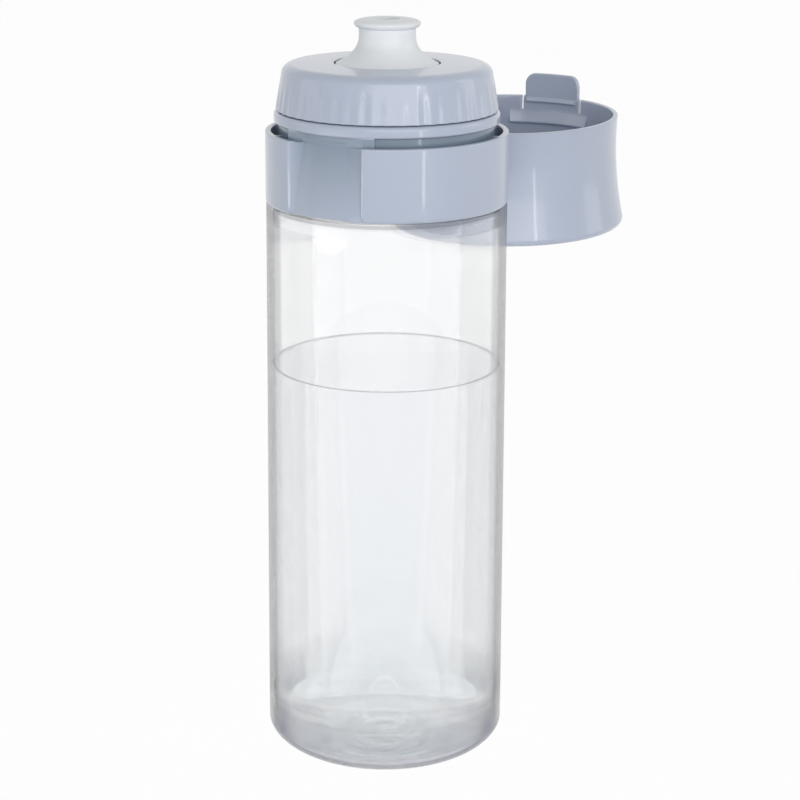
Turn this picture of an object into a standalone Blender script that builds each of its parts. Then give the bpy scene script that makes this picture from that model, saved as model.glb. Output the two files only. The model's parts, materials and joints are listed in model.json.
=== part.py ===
"""Filter water bottle with a hinged flip cap, shown open.

The bottle stands on Z = 0 with its axis on Z. The latch recess faces -Y and the cap's hinge is at +Y.
All lengths are in metres and all angles in degrees. An angle "about the front" is 0 at -Y and grows
towards +X.
"""

from math import cos, pi, radians, sin

import bmesh
import bpy
from mathutils import Matrix, Vector

# General fits
FIT = 0.0003
OVERRUN = 0.0010
SINK = 0.0005
MERGE = 0.000001

# Facets round the axis
BODY_FACETS = 48
COLLAR_FACETS = 48
CAP_FACETS = 48
GRIP_RIBS = 48
SPOUT_FACETS = 32
FILTER_FACETS = 40
SMALL_FACETS = 16
ARC_STEPS = 4

# Clear body
BODY_HEIGHT = 0.17416
BODY_TOP_RADIUS = 0.03615
BODY_BASE_RADIUS = 0.03685
BODY_WALL = 0.0019
FLOOR_THICKNESS = 0.0026
BASE_CORNER_WIDTH = 0.0172
BASE_CORNER_HEIGHT = 0.0087
PAD_RADIUS = 0.0080
GROOVE_WIDTH = 0.0065
GROOVE_DEPTH = 0.0008
GATE_RADIUS = 0.0030
GATE_HEIGHT = 0.0006
SHOULDER_ROUND = 0.0008
NECK_HEIGHT = 0.03754
NECK_WALL = 0.0019
NECK_CHAMFER = 0.0004
BEAD_REACH = 0.0013
BEAD_HEIGHT = 0.0012

# Neck collar: outer band, channel, inner ring and the flange under the lid
COLLAR_STEP = 0.00015
FLANGE_BELOW_RIM = 0.00988
BAND_WALL = 0.0018
BAND_TOP_ROUND = 0.0005
BAND_BOTTOM_ROUND = 0.0013
CHANNEL_WIDTH = 0.0022
CHANNEL_DEPTH = 0.0090
CHANNEL_FLOOR = 0.0014
RING_WALL = 0.0012
SNAP_LIP_REACH = 0.0018
SNAP_LIP_HEIGHT = 0.0014
FLANGE_GAP = 0.00246
FLANGE_HEIGHT = 0.00342
FLANGE_REACH = 0.0014
CHANNEL_RIB_ANGLES = (45.0, 75.0, 105.0, 135.0, 225.0, 255.0, 285.0, 315.0)
CHANNEL_RIB_WIDTH = 0.0009
CHANNEL_RIB_DROP = 0.0006

# Latch recess: a dished scoop in the band, deep at its top
RECESS_LEFT = -22.1
RECESS_RIGHT = 18.3
SCOOP_TOP_DEPTH = 0.0037
SCOOP_BOTTOM_DEPTH = 0.0008
SCOOP_LEFT_TOP = -16.0
SCOOP_LEFT_BOTTOM = -20.1
SCOOP_WALL = 17.6
SCOOP_WALL_SHARE = 0.6
SCOOP_CREASE_TOP = 8.6
SCOOP_CREASE_BOTTOM = 14.0
SCOOP_BACKING = 0.0017
BACKING_LEFT = -24.8
BACKING_RIGHT = 19.6
FLANGE_WEB_ANGLE = 6.3
FLANGE_WEB_LEFT = -29.0
FLANGE_WEB_RIGHT = 17.5
FLANGE_WEB_INSET = 0.00015

# Hinge
HINGE_OFFSET = 0.00304
HINGE_DROP = 0.00335
OPENING_ANGLE = 178.5
PIN_RADIUS = 0.0010
PIN_ROOM = 0.00015
PIN_SHORT = 0.0002
EAR_RADIUS = 0.0029
EAR_WIDTH = 0.0040
EAR_ROOT = 0.0022
EAR_GUSSET = 0.0030
KNUCKLE_RADIUS = 0.0024
KNUCKLE_HALF_WIDTH = 0.0065
KNUCKLE_SIDE_GAP = 0.0004
ARM_ROOT = 0.0011
ARM_HEIGHT = 0.0088
ARM_TIP = 0.0006

# Flip cap
CAP_WALL = 0.0016
CAP_TOP_WALL = 0.0018
CAP_SIDE_HEIGHT = 0.0338
CAP_WAIST_PULL = 0.00263
CAP_FLARE = 0.00221
CAP_CORNER = 0.0022
CAP_SIDE_STEPS = 5
RIM_ROUND = 0.0003
TONGUE_WIDTH = 0.0206
TONGUE_DROP = 0.0076
TONGUE_CORNER = 0.0036
TONGUE_INSET = 0.00015
TONGUE_SLOT = 0.0010
TONGUE_SLOT_HEIGHT = 0.0050
HOOK_START = 0.0004
HOOK_HEIGHT = 0.0015
HOOK_REACH = 0.0014
PAD_BAND_START = 0.0053
PAD_BAND_HEIGHT = 0.0043
PAD_BAND_LEDGE = 0.0008
PAD_BAND_REACH = 0.0014
PAD_BAND_HALF_ANGLE = 25.0

# Screw lid
LID_STEP = 0.0010
LID_DRAFT = 0.0012
LID_SHOULDER = 0.0039
LID_TOP_WALL = 0.0018
LID_SKIRT_WALL = 0.0014
LID_SKIRT_LENGTH = 0.0160
THREAD_ROOM = 0.0005
GRIP_DEPTH = 0.00022
GRIP_HEIGHT_SHARE = 0.89
WELL_ROOM = 0.0005
WELL_WALL = 0.0015
FILTER_RING_WALL = 0.0016
FILTER_RING_DROP = 0.0131

# Spout stem and its plug, moulded with the lid
STEM_RADIUS = 0.0060
STEM_WALL = 0.0014
STEM_CHAMFER = 0.0004
SEAL_GROOVE_DEPTH = 0.0009
SEAL_GROOVE_HEIGHT = 0.0014
SEAL_GROOVE_BELOW_TOP = 0.0017
SPOKE_WIDTH = 0.0011
SPOKE_HEIGHT = 0.0018
SPOKE_COUNT = 3
PLUG_CHAMFER = 0.0006

# Mouthpiece, pulled up
PULL_TRAVEL = 0.0050
MOUTH_SINK = 0.0004
MOUTH_HEIGHT = 0.0135
MOUTH_FLARE_RADIUS = 0.0153
MOUTH_NECK_RADIUS = 0.00844
MOUTH_FLARE_HEIGHT = 0.0076
MOUTH_FLARE_EDGE = 0.0010
MOUTH_HOLLOW = 0.0026
MOUTH_BORE_ROOM = 0.0005
MOUTH_TOP_WALL = 0.0022
MOUTH_HOLE_RADIUS = 0.0035
MOUTH_HOLE_ROUND = 0.0004
LIP_RADIUS = 0.0099
LIP_CROWN_WIDTH = 0.0045
LIP_CROWN_HEIGHT = 0.0018
LIP_UNDERSIDE = 0.0016
FLARE_STEPS = 5

# Seals and the vent valve
SEAL_SECTION = 0.0009
SEAL_ROOM = 0.00025
GASKET_HEIGHT = 0.0015
GASKET_ROOM = 0.0002
VALVE_OFFSET = 0.0100
VALVE_DISC_RADIUS = 0.0030
VALVE_DISC_HEIGHT = 0.0009
VALVE_STEM_RADIUS = 0.0008
VALVE_BULB_RADIUS = 0.0013
VALVE_BULB_HEIGHT = 0.0007
VENT_HOLE_RADIUS = 0.0005
VENT_HOLE_OFFSET = 0.0019
VENT_HOLE_COUNT = 4

# Filter holder, disc and fleeces
HOLDER_ROOM = 0.0014
HOLDER_WALL = 0.0015
HOLDER_FLOOR = 0.0018
HOLDER_OVERLAP = 0.0050
HOLDER_CORNER = 0.0015
HOLDER_SLOTS = 12
HOLDER_SLOT_WIDTH = 0.0022
HOLDER_SLOT_START = 0.0070
HOLDER_SLOT_LENGTH = 0.0130
DISC_ROOM = 0.0006
DISC_HEIGHT = 0.0076
DISC_CHAMFER = 0.0006
FLEECE_THICKNESS = 0.0006
DISC_SEAL_WIDTH = 0.0016
DISC_SEAL_HEIGHT = 0.0012

# Radii that follow, from the collar inwards
COLLAR_RADIUS = BODY_TOP_RADIUS + COLLAR_STEP
BAND_INNER = COLLAR_RADIUS - BAND_WALL
RING_OUTER = BAND_INNER - CHANNEL_WIDTH
RING_INNER = RING_OUTER - RING_WALL
FLANGE_RADIUS = RING_OUTER + FLANGE_REACH
SKIRT_OUTER = RING_INNER - FIT
SKIRT_INNER = SKIRT_OUTER - LID_SKIRT_WALL
NECK_OUTER = SKIRT_INNER - THREAD_ROOM
NECK_INNER = NECK_OUTER - NECK_WALL
HOLDER_OUTER = NECK_INNER - HOLDER_ROOM
HOLDER_INNER = HOLDER_OUTER - HOLDER_WALL
FILTER_RING_OUTER = HOLDER_INNER - FIT
FILTER_RING_INNER = FILTER_RING_OUTER - FILTER_RING_WALL
DISC_RADIUS = HOLDER_INNER - DISC_ROOM
LID_RADIUS = FLANGE_RADIUS - LID_STEP
LID_TOP_RADIUS = LID_RADIUS - LID_DRAFT
WELL_RADIUS = MOUTH_FLARE_RADIUS + WELL_ROOM
MOUTH_BORE = STEM_RADIUS + MOUTH_BORE_ROOM
PLUG_RADIUS = MOUTH_HOLE_RADIUS - FIT

# Heights that follow, from the base upwards
COLLAR_BOTTOM = BODY_HEIGHT + FIT
NECK_RIM = BODY_HEIGHT + NECK_HEIGHT
FLANGE_TOP = NECK_RIM - FLANGE_BELOW_RIM
FLANGE_BOTTOM = FLANGE_TOP - FLANGE_HEIGHT
BAND_TOP = FLANGE_BOTTOM - FLANGE_GAP
BAND_HEIGHT = BAND_TOP - COLLAR_BOTTOM
CHANNEL_BOTTOM = BAND_TOP - CHANNEL_DEPTH
LID_BOTTOM = FLANGE_TOP + FIT
GASKET_BOTTOM = NECK_RIM + FIT
LID_CEILING = GASKET_BOTTOM + GASKET_HEIGHT + FIT
LID_TOP = LID_CEILING + LID_TOP_WALL
MOUTH_BASE = LID_TOP - MOUTH_SINK
MOUTH_TOP = MOUTH_BASE + MOUTH_HEIGHT
MOUTH_CEILING = MOUTH_TOP - MOUTH_TOP_WALL
WELL_FLOOR = MOUTH_BASE - PULL_TRAVEL - FIT
WELL_UNDERSIDE = WELL_FLOOR - WELL_WALL
STEM_TOP = MOUTH_CEILING - PULL_TRAVEL - FIT
PLUG_TOP = MOUTH_TOP - PULL_TRAVEL - FIT
GROOVE_TOP = STEM_TOP - SEAL_GROOVE_BELOW_TOP
FILTER_RING_BOTTOM = LID_CEILING - FILTER_RING_DROP
CAP_RIM = BAND_TOP + FIT
CAP_TOP = CAP_RIM + CAP_SIDE_HEIGHT + CAP_CORNER
HINGE_Y = COLLAR_RADIUS + HINGE_OFFSET
HINGE_Z = BAND_TOP - HINGE_DROP

# Finishes: colour, roughness, transmission
CLEAR = ("clear_plastic", (0.93, 0.95, 0.96, 1.0), 0.05, 0.95)
TINTED = ("blue_grey_plastic", (0.45, 0.50, 0.61, 1.0), 0.30, 0.0)
WHITE = ("white_plastic", (0.83, 0.87, 0.88, 1.0), 0.35, 0.0)
STEEL = ("pin_steel", (0.60, 0.60, 0.61, 1.0), 0.25, 0.0)
SILICONE = ("silicone", (0.75, 0.77, 0.78, 1.0), 0.55, 0.0)
CARBON = ("carbon", (0.03, 0.03, 0.035, 1.0), 0.90, 0.0)
FLEECE = ("fleece", (0.80, 0.80, 0.78, 1.0), 0.95, 0.0)


def clear_scene():
    """Remove every object that the file opened with."""
    for item in list(bpy.data.objects):
        bpy.data.objects.remove(item, do_unlink=True)


def finish_material(finish):
    """Return the material of a finish, made on its first use."""
    name, colour, roughness, transmission = finish
    material = bpy.data.materials.get(name)
    if material is None:
        material = bpy.data.materials.new(name)
        material.use_nodes = True
        shader = material.node_tree.nodes["Principled BSDF"]
        shader.inputs["Base Color"].default_value = colour
        shader.inputs["Roughness"].default_value = roughness
        shader.inputs["Metallic"].default_value = 1.0 if name == "pin_steel" else 0.0
        shader.inputs["Transmission Weight"].default_value = transmission
    return material


def new_object(name, mesh_data, finish=None):
    """Turn a bmesh into an object, shaded smooth except along sharp edges."""
    bmesh.ops.recalc_face_normals(mesh_data, faces=mesh_data.faces)
    mesh = bpy.data.meshes.new(name)
    mesh_data.to_mesh(mesh)
    mesh_data.free()
    mesh.shade_smooth()
    mesh.set_sharp_from_angle(angle=radians(35.0))
    item = bpy.data.objects.new(name, mesh)
    bpy.context.collection.objects.link(item)
    if finish is not None:
        mesh.materials.append(finish_material(finish))
    return item


def arc(centre, radii, start, end, steps=ARC_STEPS):
    """Return points of an elliptical arc, with angles from +radius towards +height."""
    angles = [radians(start + (end - start) * step / steps) for step in range(steps + 1)]
    return [(centre[0] + radii[0] * cos(a), centre[1] + radii[1] * sin(a)) for a in angles]


def turned(outline, facets, turn=0.0):
    """Spin an outline of (radius, height) points once round Z.

    An outline that starts and ends on the axis is left open there.
    """
    mesh = bmesh.new()
    corners = [mesh.verts.new((radius, 0.0, height)) for radius, height in outline]
    open_at_axis = outline[0][0] == 0.0 and outline[-1][0] == 0.0
    first = 1 if open_at_axis else 0
    edges = [mesh.edges.new((corners[i - 1], corners[i])) for i in range(first, len(corners))]
    bmesh.ops.spin(mesh, geom=corners + edges, cent=(0, 0, 0), axis=(0, 0, 1),
                   angle=2 * pi, steps=facets, use_merge=True)
    bmesh.ops.remove_doubles(mesh, verts=mesh.verts, dist=MERGE)
    bmesh.ops.rotate(mesh, verts=mesh.verts, cent=(0, 0, 0), matrix=Matrix.Rotation(radians(turn), 3, "Z"))
    return mesh


def sector(outline, start, end, steps):
    """Spin a filled outline round Z between two angles about the front."""
    mesh = bmesh.new()
    corners = [mesh.verts.new((radius, 0.0, height)) for radius, height in outline]
    face = mesh.faces.new(corners)
    turn = Matrix.Rotation(radians(start - 90.0), 3, "Z")
    bmesh.ops.rotate(mesh, verts=corners, cent=(0, 0, 0), matrix=turn)
    bmesh.ops.spin(mesh, geom=corners + list(mesh.edges) + [face], cent=(0, 0, 0), axis=(0, 0, 1),
                   angle=radians(end - start), steps=steps, use_duplicate=False)
    bmesh.ops.remove_doubles(mesh, verts=mesh.verts, dist=MERGE)
    return mesh


def prism(outline, low_x, high_x):
    """Extrude a filled outline of (Y, Z) points along X."""
    mesh = bmesh.new()
    face = mesh.faces.new([mesh.verts.new((low_x, y, z)) for y, z in outline])
    grown = bmesh.ops.extrude_face_region(mesh, geom=[face])
    moved = [item for item in grown["geom"] if isinstance(item, bmesh.types.BMVert)]
    bmesh.ops.translate(mesh, verts=moved, vec=(high_x - low_x, 0.0, 0.0))
    return mesh


def lofted(*loops):
    """Join closed loops of points, each above the last, into a solid."""
    mesh = bmesh.new()
    rings = [[mesh.verts.new(point) for point in points] for points in loops]
    edges = [[mesh.edges.new((ring[i - 1], ring[i])) for i in range(len(ring))] for ring in rings]
    for lower, upper in zip(edges, edges[1:]):
        bmesh.ops.bridge_loops(mesh, edges=lower + upper)
    mesh.faces.new(rings[0])
    mesh.faces.new(rings[-1])
    return mesh


def rod(radius, low_x, high_x, facets=SMALL_FACETS):
    """Return a closed cylinder along X."""
    mesh = bmesh.new()
    bmesh.ops.create_cone(mesh, cap_ends=True, segments=facets, radius1=radius, radius2=radius,
                          depth=high_x - low_x)
    bmesh.ops.rotate(mesh, verts=mesh.verts, cent=(0, 0, 0), matrix=Matrix.Rotation(pi / 2, 3, "Y"))
    bmesh.ops.translate(mesh, verts=mesh.verts, vec=((low_x + high_x) / 2, 0.0, 0.0))
    return mesh


def post(radius, centre, low_z, high_z, facets=SMALL_FACETS):
    """Return a closed cylinder along Z."""
    mesh = bmesh.new()
    bmesh.ops.create_cone(mesh, cap_ends=True, segments=facets, radius1=radius, radius2=radius,
                          depth=high_z - low_z)
    bmesh.ops.translate(mesh, verts=mesh.verts, vec=(centre[0], centre[1], (low_z + high_z) / 2))
    return mesh


def block(low, high):
    """Return a closed box between two corners."""
    size = Vector(high) - Vector(low)
    mesh = bmesh.new()
    bmesh.ops.create_cube(mesh, size=1.0)
    bmesh.ops.scale(mesh, verts=mesh.verts, vec=size)
    bmesh.ops.translate(mesh, verts=mesh.verts, vec=Vector(low) + size / 2)
    return mesh


def gathered(meshes):
    """Put several separate bmeshes into one."""
    whole = bmesh.new()
    for mesh in meshes:
        bmesh.ops.recalc_face_normals(mesh, faces=mesh.faces)
        data = bpy.data.meshes.new("gathered")
        mesh.to_mesh(data)
        mesh.free()
        whole.from_mesh(data)
        bpy.data.meshes.remove(data)
    return whole


def boolean(target, mesh, operation, name, crossing=False):
    """Cut a guide out of an object, or fuse it on, with a live modifier.

    Crossing says that pieces of the guide run through each other.
    """
    guide = new_object(target.name + "_" + name, mesh)
    guide.hide_render = True
    guide.display_type = "WIRE"
    guide.matrix_world = target.matrix_world.copy()
    guide.parent = target.parent
    modifier = target.modifiers.new(name, "BOOLEAN")
    modifier.operation = operation
    modifier.solver = "EXACT"
    modifier.use_self = crossing
    modifier.object = guide


def front_point(radius, angle, height):
    """Return the point at a radius and an angle about the front."""
    return Vector((radius * sin(radians(angle)), -radius * cos(radians(angle)), height))


def build_body():
    """Clear vessel: elliptical base corner, tapered wall, flat shoulder and a neck with a snap bead."""
    corner_r = BODY_BASE_RADIUS - BASE_CORNER_WIDTH
    wall_top = BODY_HEIGHT - SHOULDER_ROUND
    bead_bottom = COLLAR_BOTTOM + SNAP_LIP_HEIGHT + FIT
    bead_radius = NECK_OUTER + BEAD_REACH
    groove_middle = PAD_RADIUS + GROOVE_WIDTH / 2
    inner_top = BODY_HEIGHT - BODY_WALL
    inner_round = SHOULDER_ROUND
    top_inner = BODY_TOP_RADIUS - BODY_WALL
    base_inner = BASE_CORNER_WIDTH - BODY_WALL
    outline = [(0.0, 0.0), (PAD_RADIUS, 0.0), (groove_middle, GROOVE_DEPTH), (PAD_RADIUS + GROOVE_WIDTH, 0.0)]
    outline += arc((corner_r, BASE_CORNER_HEIGHT), (BASE_CORNER_WIDTH, BASE_CORNER_HEIGHT), -90.0, 0.0, 6)
    outline += arc((BODY_TOP_RADIUS - SHOULDER_ROUND, wall_top), (SHOULDER_ROUND, SHOULDER_ROUND), 0.0, 90.0, 2)
    outline += [(NECK_OUTER, BODY_HEIGHT), (NECK_OUTER, bead_bottom), (bead_radius, bead_bottom)]
    outline += [(NECK_OUTER, bead_bottom + BEAD_HEIGHT), (NECK_OUTER, NECK_RIM - NECK_CHAMFER)]
    outline += [(NECK_OUTER - NECK_CHAMFER, NECK_RIM), (NECK_INNER, NECK_RIM), (NECK_INNER, inner_top)]
    outline += arc((top_inner - inner_round, inner_top - inner_round), (inner_round, inner_round), 90.0, 0.0, 2)
    outline += arc((corner_r, BASE_CORNER_HEIGHT), (base_inner, BASE_CORNER_HEIGHT - FLOOR_THICKNESS),
                   0.0, -90.0, 6)
    outline += [(GATE_RADIUS, FLOOR_THICKNESS), (GATE_RADIUS / 2, FLOOR_THICKNESS + GATE_HEIGHT)]
    outline += [(0.0, FLOOR_THICKNESS + GATE_HEIGHT)]
    return new_object("bottle_body", turned(outline, BODY_FACETS), CLEAR)


def scoop_depth(height):
    """Return how deep the latch recess is below the band's face at a height."""
    share = (height - COLLAR_BOTTOM) / BAND_HEIGHT
    return SCOOP_BOTTOM_DEPTH + (SCOOP_TOP_DEPTH - SCOOP_BOTTOM_DEPTH) * share


def scoop_loop(height, left, crease, steps=6):
    """Return the plan of the latch recess at a height, open outwards.

    The left side slopes in, the right side goes straight in and then slopes to a crease in the floor.
    """
    depth = scoop_depth(height)
    splay = (RECESS_LEFT - left) / depth * OVERRUN
    outer = [RECESS_LEFT + splay + (RECESS_RIGHT - RECESS_LEFT - splay) * step / steps for step in range(steps + 1)]
    floor = [crease + (left - crease) * step / steps for step in range(steps + 1)]
    points = [front_point(COLLAR_RADIUS + OVERRUN, angle, height) for angle in outer]
    points.append(front_point(COLLAR_RADIUS - depth * SCOOP_WALL_SHARE, SCOOP_WALL, height))
    return points + [front_point(COLLAR_RADIUS - depth, angle, height) for angle in floor]


def scoop_cutter():
    """Return the solid that the latch recess is cut with."""
    low = COLLAR_BOTTOM - OVERRUN / 2
    high = BAND_TOP + OVERRUN
    return lofted(scoop_loop(low, SCOOP_LEFT_BOTTOM, SCOOP_CREASE_BOTTOM),
                  scoop_loop(high, SCOOP_LEFT_TOP, SCOOP_CREASE_TOP))


def scoop_backing(steps=6):
    """Return the wall behind the recess, between the inner ring and the band."""
    angles = [BACKING_LEFT + (BACKING_RIGHT - BACKING_LEFT) * step / steps for step in range(steps + 1)]
    low_inner = COLLAR_RADIUS - SCOOP_BOTTOM_DEPTH - SCOOP_BACKING
    high_inner = RING_OUTER - SINK
    loops = []
    for height, inner in ((COLLAR_BOTTOM + FIT, low_inner), (CHANNEL_BOTTOM - CHANNEL_FLOOR / 2, high_inner),
                          (BAND_TOP - FIT, high_inner)):
        outer_arc = [front_point(BAND_INNER + SINK, angle, height) for angle in angles]
        inner_arc = [front_point(inner, angle, height) for angle in angles]
        loops.append(outer_arc + inner_arc[::-1])
    return lofted(*loops)


def flange_webs():
    """Return the two webs beside the recess that carry the flange on the band."""
    inner = RING_OUTER - SINK
    face = FLANGE_RADIUS - FLANGE_WEB_INSET
    low = CHANNEL_BOTTOM - CHANNEL_FLOOR / 2
    ledge = BAND_TOP - BAND_TOP_ROUND
    high = FLANGE_BOTTOM + FLANGE_HEIGHT / 2
    outline = [(inner, low), (BAND_INNER + SINK, low), (BAND_INNER + SINK, ledge), (face, ledge)]
    outline += [(face, high), (inner, high)]
    return [sector(outline, start, start + FLANGE_WEB_ANGLE, 2) for start in (FLANGE_WEB_LEFT, FLANGE_WEB_RIGHT)]


def channel_ribs():
    """Return the thin stiffening ribs across the channel."""
    ribs = []
    for angle in CHANNEL_RIB_ANGLES:
        rib = block((-CHANNEL_RIB_WIDTH / 2, -BAND_INNER - SINK, CHANNEL_BOTTOM - CHANNEL_FLOOR / 2),
                    (CHANNEL_RIB_WIDTH / 2, -RING_OUTER + SINK, BAND_TOP - CHANNEL_RIB_DROP))
        bmesh.ops.rotate(rib, verts=rib.verts, cent=(0, 0, 0), matrix=Matrix.Rotation(radians(angle), 3, "Z"))
        ribs.append(rib)
    return ribs


def hinge_ears():
    """Return the two ears on the back of the band that hold the hinge pin."""
    root = COLLAR_RADIUS - EAR_ROOT
    outline = [(root, HINGE_Z - EAR_RADIUS - EAR_GUSSET)]
    outline += arc((HINGE_Y, HINGE_Z), (EAR_RADIUS, EAR_RADIUS), -90.0, 90.0, 8)
    outline += [(root, HINGE_Z + EAR_RADIUS)]
    inner = KNUCKLE_HALF_WIDTH + KNUCKLE_SIDE_GAP
    outer = inner + EAR_WIDTH
    return [prism(outline, inner, outer), prism(outline, -outer, -inner)]


def pin_hole(radius):
    """Return the cutter for a hole along the hinge's axis."""
    reach = KNUCKLE_HALF_WIDTH + KNUCKLE_SIDE_GAP + EAR_WIDTH + OVERRUN
    return rod(radius, -reach, reach)


def build_collar():
    """Collar round the neck: band, channel, inner ring with flange, scooped latch recess and hinge ears."""
    middle = FLANGE_BOTTOM + FLANGE_HEIGHT / 2
    nose = FLANGE_HEIGHT / 2
    channel_underside = CHANNEL_BOTTOM - CHANNEL_FLOOR
    lip_inner = RING_INNER - SNAP_LIP_REACH
    outline = arc((COLLAR_RADIUS - BAND_BOTTOM_ROUND, COLLAR_BOTTOM + BAND_BOTTOM_ROUND),
                  (BAND_BOTTOM_ROUND, BAND_BOTTOM_ROUND), -90.0, 0.0, 3)
    outline += arc((COLLAR_RADIUS - BAND_TOP_ROUND, BAND_TOP - BAND_TOP_ROUND),
                   (BAND_TOP_ROUND, BAND_TOP_ROUND), 0.0, 90.0, 2)
    outline += [(BAND_INNER, BAND_TOP), (BAND_INNER, CHANNEL_BOTTOM), (RING_OUTER, CHANNEL_BOTTOM)]
    outline += [(RING_OUTER, FLANGE_BOTTOM)]
    outline += arc((FLANGE_RADIUS - nose, middle), (nose, nose), -90.0, 90.0, 5)
    outline += [(RING_INNER, FLANGE_TOP), (RING_INNER, COLLAR_BOTTOM + SNAP_LIP_HEIGHT)]
    outline += [(lip_inner, COLLAR_BOTTOM + SNAP_LIP_HEIGHT), (lip_inner, COLLAR_BOTTOM)]
    outline += [(RING_OUTER, COLLAR_BOTTOM), (RING_OUTER, channel_underside)]
    outline += [(BAND_INNER, channel_underside), (BAND_INNER, COLLAR_BOTTOM)]
    collar = new_object("neck_collar", turned(outline, COLLAR_FACETS), TINTED)
    boolean(collar, scoop_backing(), "UNION", "recess_backing")
    boolean(collar, gathered(flange_webs() + channel_ribs()), "UNION", "webs")
    boolean(collar, gathered(hinge_ears()), "UNION", "ears")
    boolean(collar, scoop_cutter(), "DIFFERENCE", "recess")
    hole = pin_hole(PIN_RADIUS + PIN_ROOM)
    bmesh.ops.translate(hole, verts=hole.verts, vec=(0.0, HINGE_Y, HINGE_Z))
    boolean(collar, hole, "DIFFERENCE", "pin_hole")
    return collar


def cap_side_radius(height):
    """Return the cap's outer radius at a height above its rim: drawn in at the waist, wider at the top."""
    share = height / CAP_SIDE_HEIGHT
    return COLLAR_RADIUS - CAP_WAIST_PULL * share + (CAP_WAIST_PULL + CAP_FLARE) * share * share


def cap_shell():
    """Return the cap's waisted shell, closed at the top and open at the rim."""
    heights = [RIM_ROUND + (CAP_SIDE_HEIGHT - RIM_ROUND) * step / CAP_SIDE_STEPS
               for step in range(CAP_SIDE_STEPS + 1)]
    wide = cap_side_radius(CAP_SIDE_HEIGHT)
    corner_z = CAP_RIM + CAP_SIDE_HEIGHT
    inner_corner = CAP_CORNER - CAP_WALL / 2
    ceiling = CAP_TOP - CAP_TOP_WALL
    outline = [(0.0, CAP_TOP)]
    outline += arc((wide - CAP_CORNER, corner_z), (CAP_CORNER, CAP_CORNER), 90.0, 0.0, 3)
    outline += [(cap_side_radius(h), CAP_RIM + h) for h in heights[-2::-1]]
    outline += [(COLLAR_RADIUS - RIM_ROUND, CAP_RIM), (COLLAR_RADIUS - CAP_WALL, CAP_RIM)]
    outline += [(cap_side_radius(h) - CAP_WALL, CAP_RIM + h) for h in heights[1:-1]]
    outline += arc((wide - CAP_WALL - inner_corner, ceiling - inner_corner),
                   (inner_corner, inner_corner), 0.0, 90.0, 2)
    outline += [(0.0, ceiling)]
    return turned(outline, CAP_FACETS)


def tongue():
    """Return the latch tongue, bent to the rim's radius, with rounded lower corners."""
    half = TONGUE_WIDTH / 2
    low = CAP_RIM - TONGUE_DROP
    high = CAP_RIM + SINK
    flat = [(-half, high)]
    flat += arc((-half + TONGUE_CORNER, low + TONGUE_CORNER), (TONGUE_CORNER, TONGUE_CORNER), 180.0, 270.0, 3)
    flat += arc((half - TONGUE_CORNER, low + TONGUE_CORNER), (TONGUE_CORNER, TONGUE_CORNER), 270.0, 360.0, 3)
    flat += [(half, high)]
    mesh = bmesh.new()
    face = mesh.faces.new([mesh.verts.new((x, 0.0, z)) for x, z in flat])
    columns = 6
    for column in range(1, columns):
        cut = -half + TONGUE_WIDTH * column / columns
        bmesh.ops.bisect_plane(mesh, geom=list(mesh.verts) + list(mesh.edges) + list(mesh.faces),
                               plane_co=(cut, 0.0, 0.0), plane_no=(1.0, 0.0, 0.0))
    grown = bmesh.ops.extrude_face_region(mesh, geom=list(mesh.faces))
    moved = {item for item in grown["geom"] if isinstance(item, bmesh.types.BMVert)}
    for vertex in mesh.verts:
        radius = COLLAR_RADIUS - TONGUE_INSET - (CAP_WALL if vertex in moved else 0.0)
        angle = vertex.co.x / COLLAR_RADIUS
        vertex.co = Vector((radius * sin(angle), -radius * cos(angle), vertex.co.z))
    return mesh


def tongue_slots():
    """Return the cutters for the two slots that free the tongue's root."""
    inner = TONGUE_WIDTH / 2
    slots = []
    for side in (-1, 1):
        low_x, high_x = sorted((side * inner, side * (inner + TONGUE_SLOT)))
        slots.append(block((low_x, -COLLAR_RADIUS - OVERRUN, CAP_RIM - OVERRUN),
                           (high_x, -COLLAR_RADIUS / 2, CAP_RIM + TONGUE_SLOT_HEIGHT)))
    return slots


def tongue_ridges():
    """Return the hook ridge inside the tongue and the wedge-shaped stiffening band above its root."""
    inner = COLLAR_RADIUS - CAP_WALL
    hook_low = CAP_RIM + HOOK_START
    hook_high = hook_low + HOOK_HEIGHT
    half = (TONGUE_WIDTH / 2 - SINK) / COLLAR_RADIUS * 180.0 / pi
    hook = [(inner + SINK, hook_low), (inner, hook_low), (inner - HOOK_REACH, hook_high - HOOK_HEIGHT / 3)]
    hook += [(inner - HOOK_REACH, hook_high), (inner + SINK, hook_high)]
    band_low = CAP_RIM + PAD_BAND_START
    band_high = band_low + PAD_BAND_HEIGHT
    band = [(inner + SINK, band_low), (inner, band_low), (inner - PAD_BAND_REACH, band_high - PAD_BAND_LEDGE)]
    band += [(inner - PAD_BAND_REACH, band_high), (inner + SINK, band_high)]
    return [sector(hook, -half, half, 4), sector(band, -PAD_BAND_HALF_ANGLE, PAD_BAND_HALF_ANGLE, 6)]


def hinge_arm():
    """Return the knuckle on the hinge's axis and the arm that joins it to the cap's wall."""
    wall = COLLAR_RADIUS - ARM_ROOT
    foot = CAP_RIM + SINK
    tip = foot + ARM_HEIGHT
    outline = arc((HINGE_Y, HINGE_Z), (KNUCKLE_RADIUS, KNUCKLE_RADIUS), 180.0, 360.0, 6)
    outline += [(HINGE_Y + KNUCKLE_RADIUS, foot), (COLLAR_RADIUS + ARM_TIP, tip), (wall, tip)]
    outline += [(wall, foot), (HINGE_Y - KNUCKLE_RADIUS, foot)]
    return prism(outline, -KNUCKLE_HALF_WIDTH, KNUCKLE_HALF_WIDTH)


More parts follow.
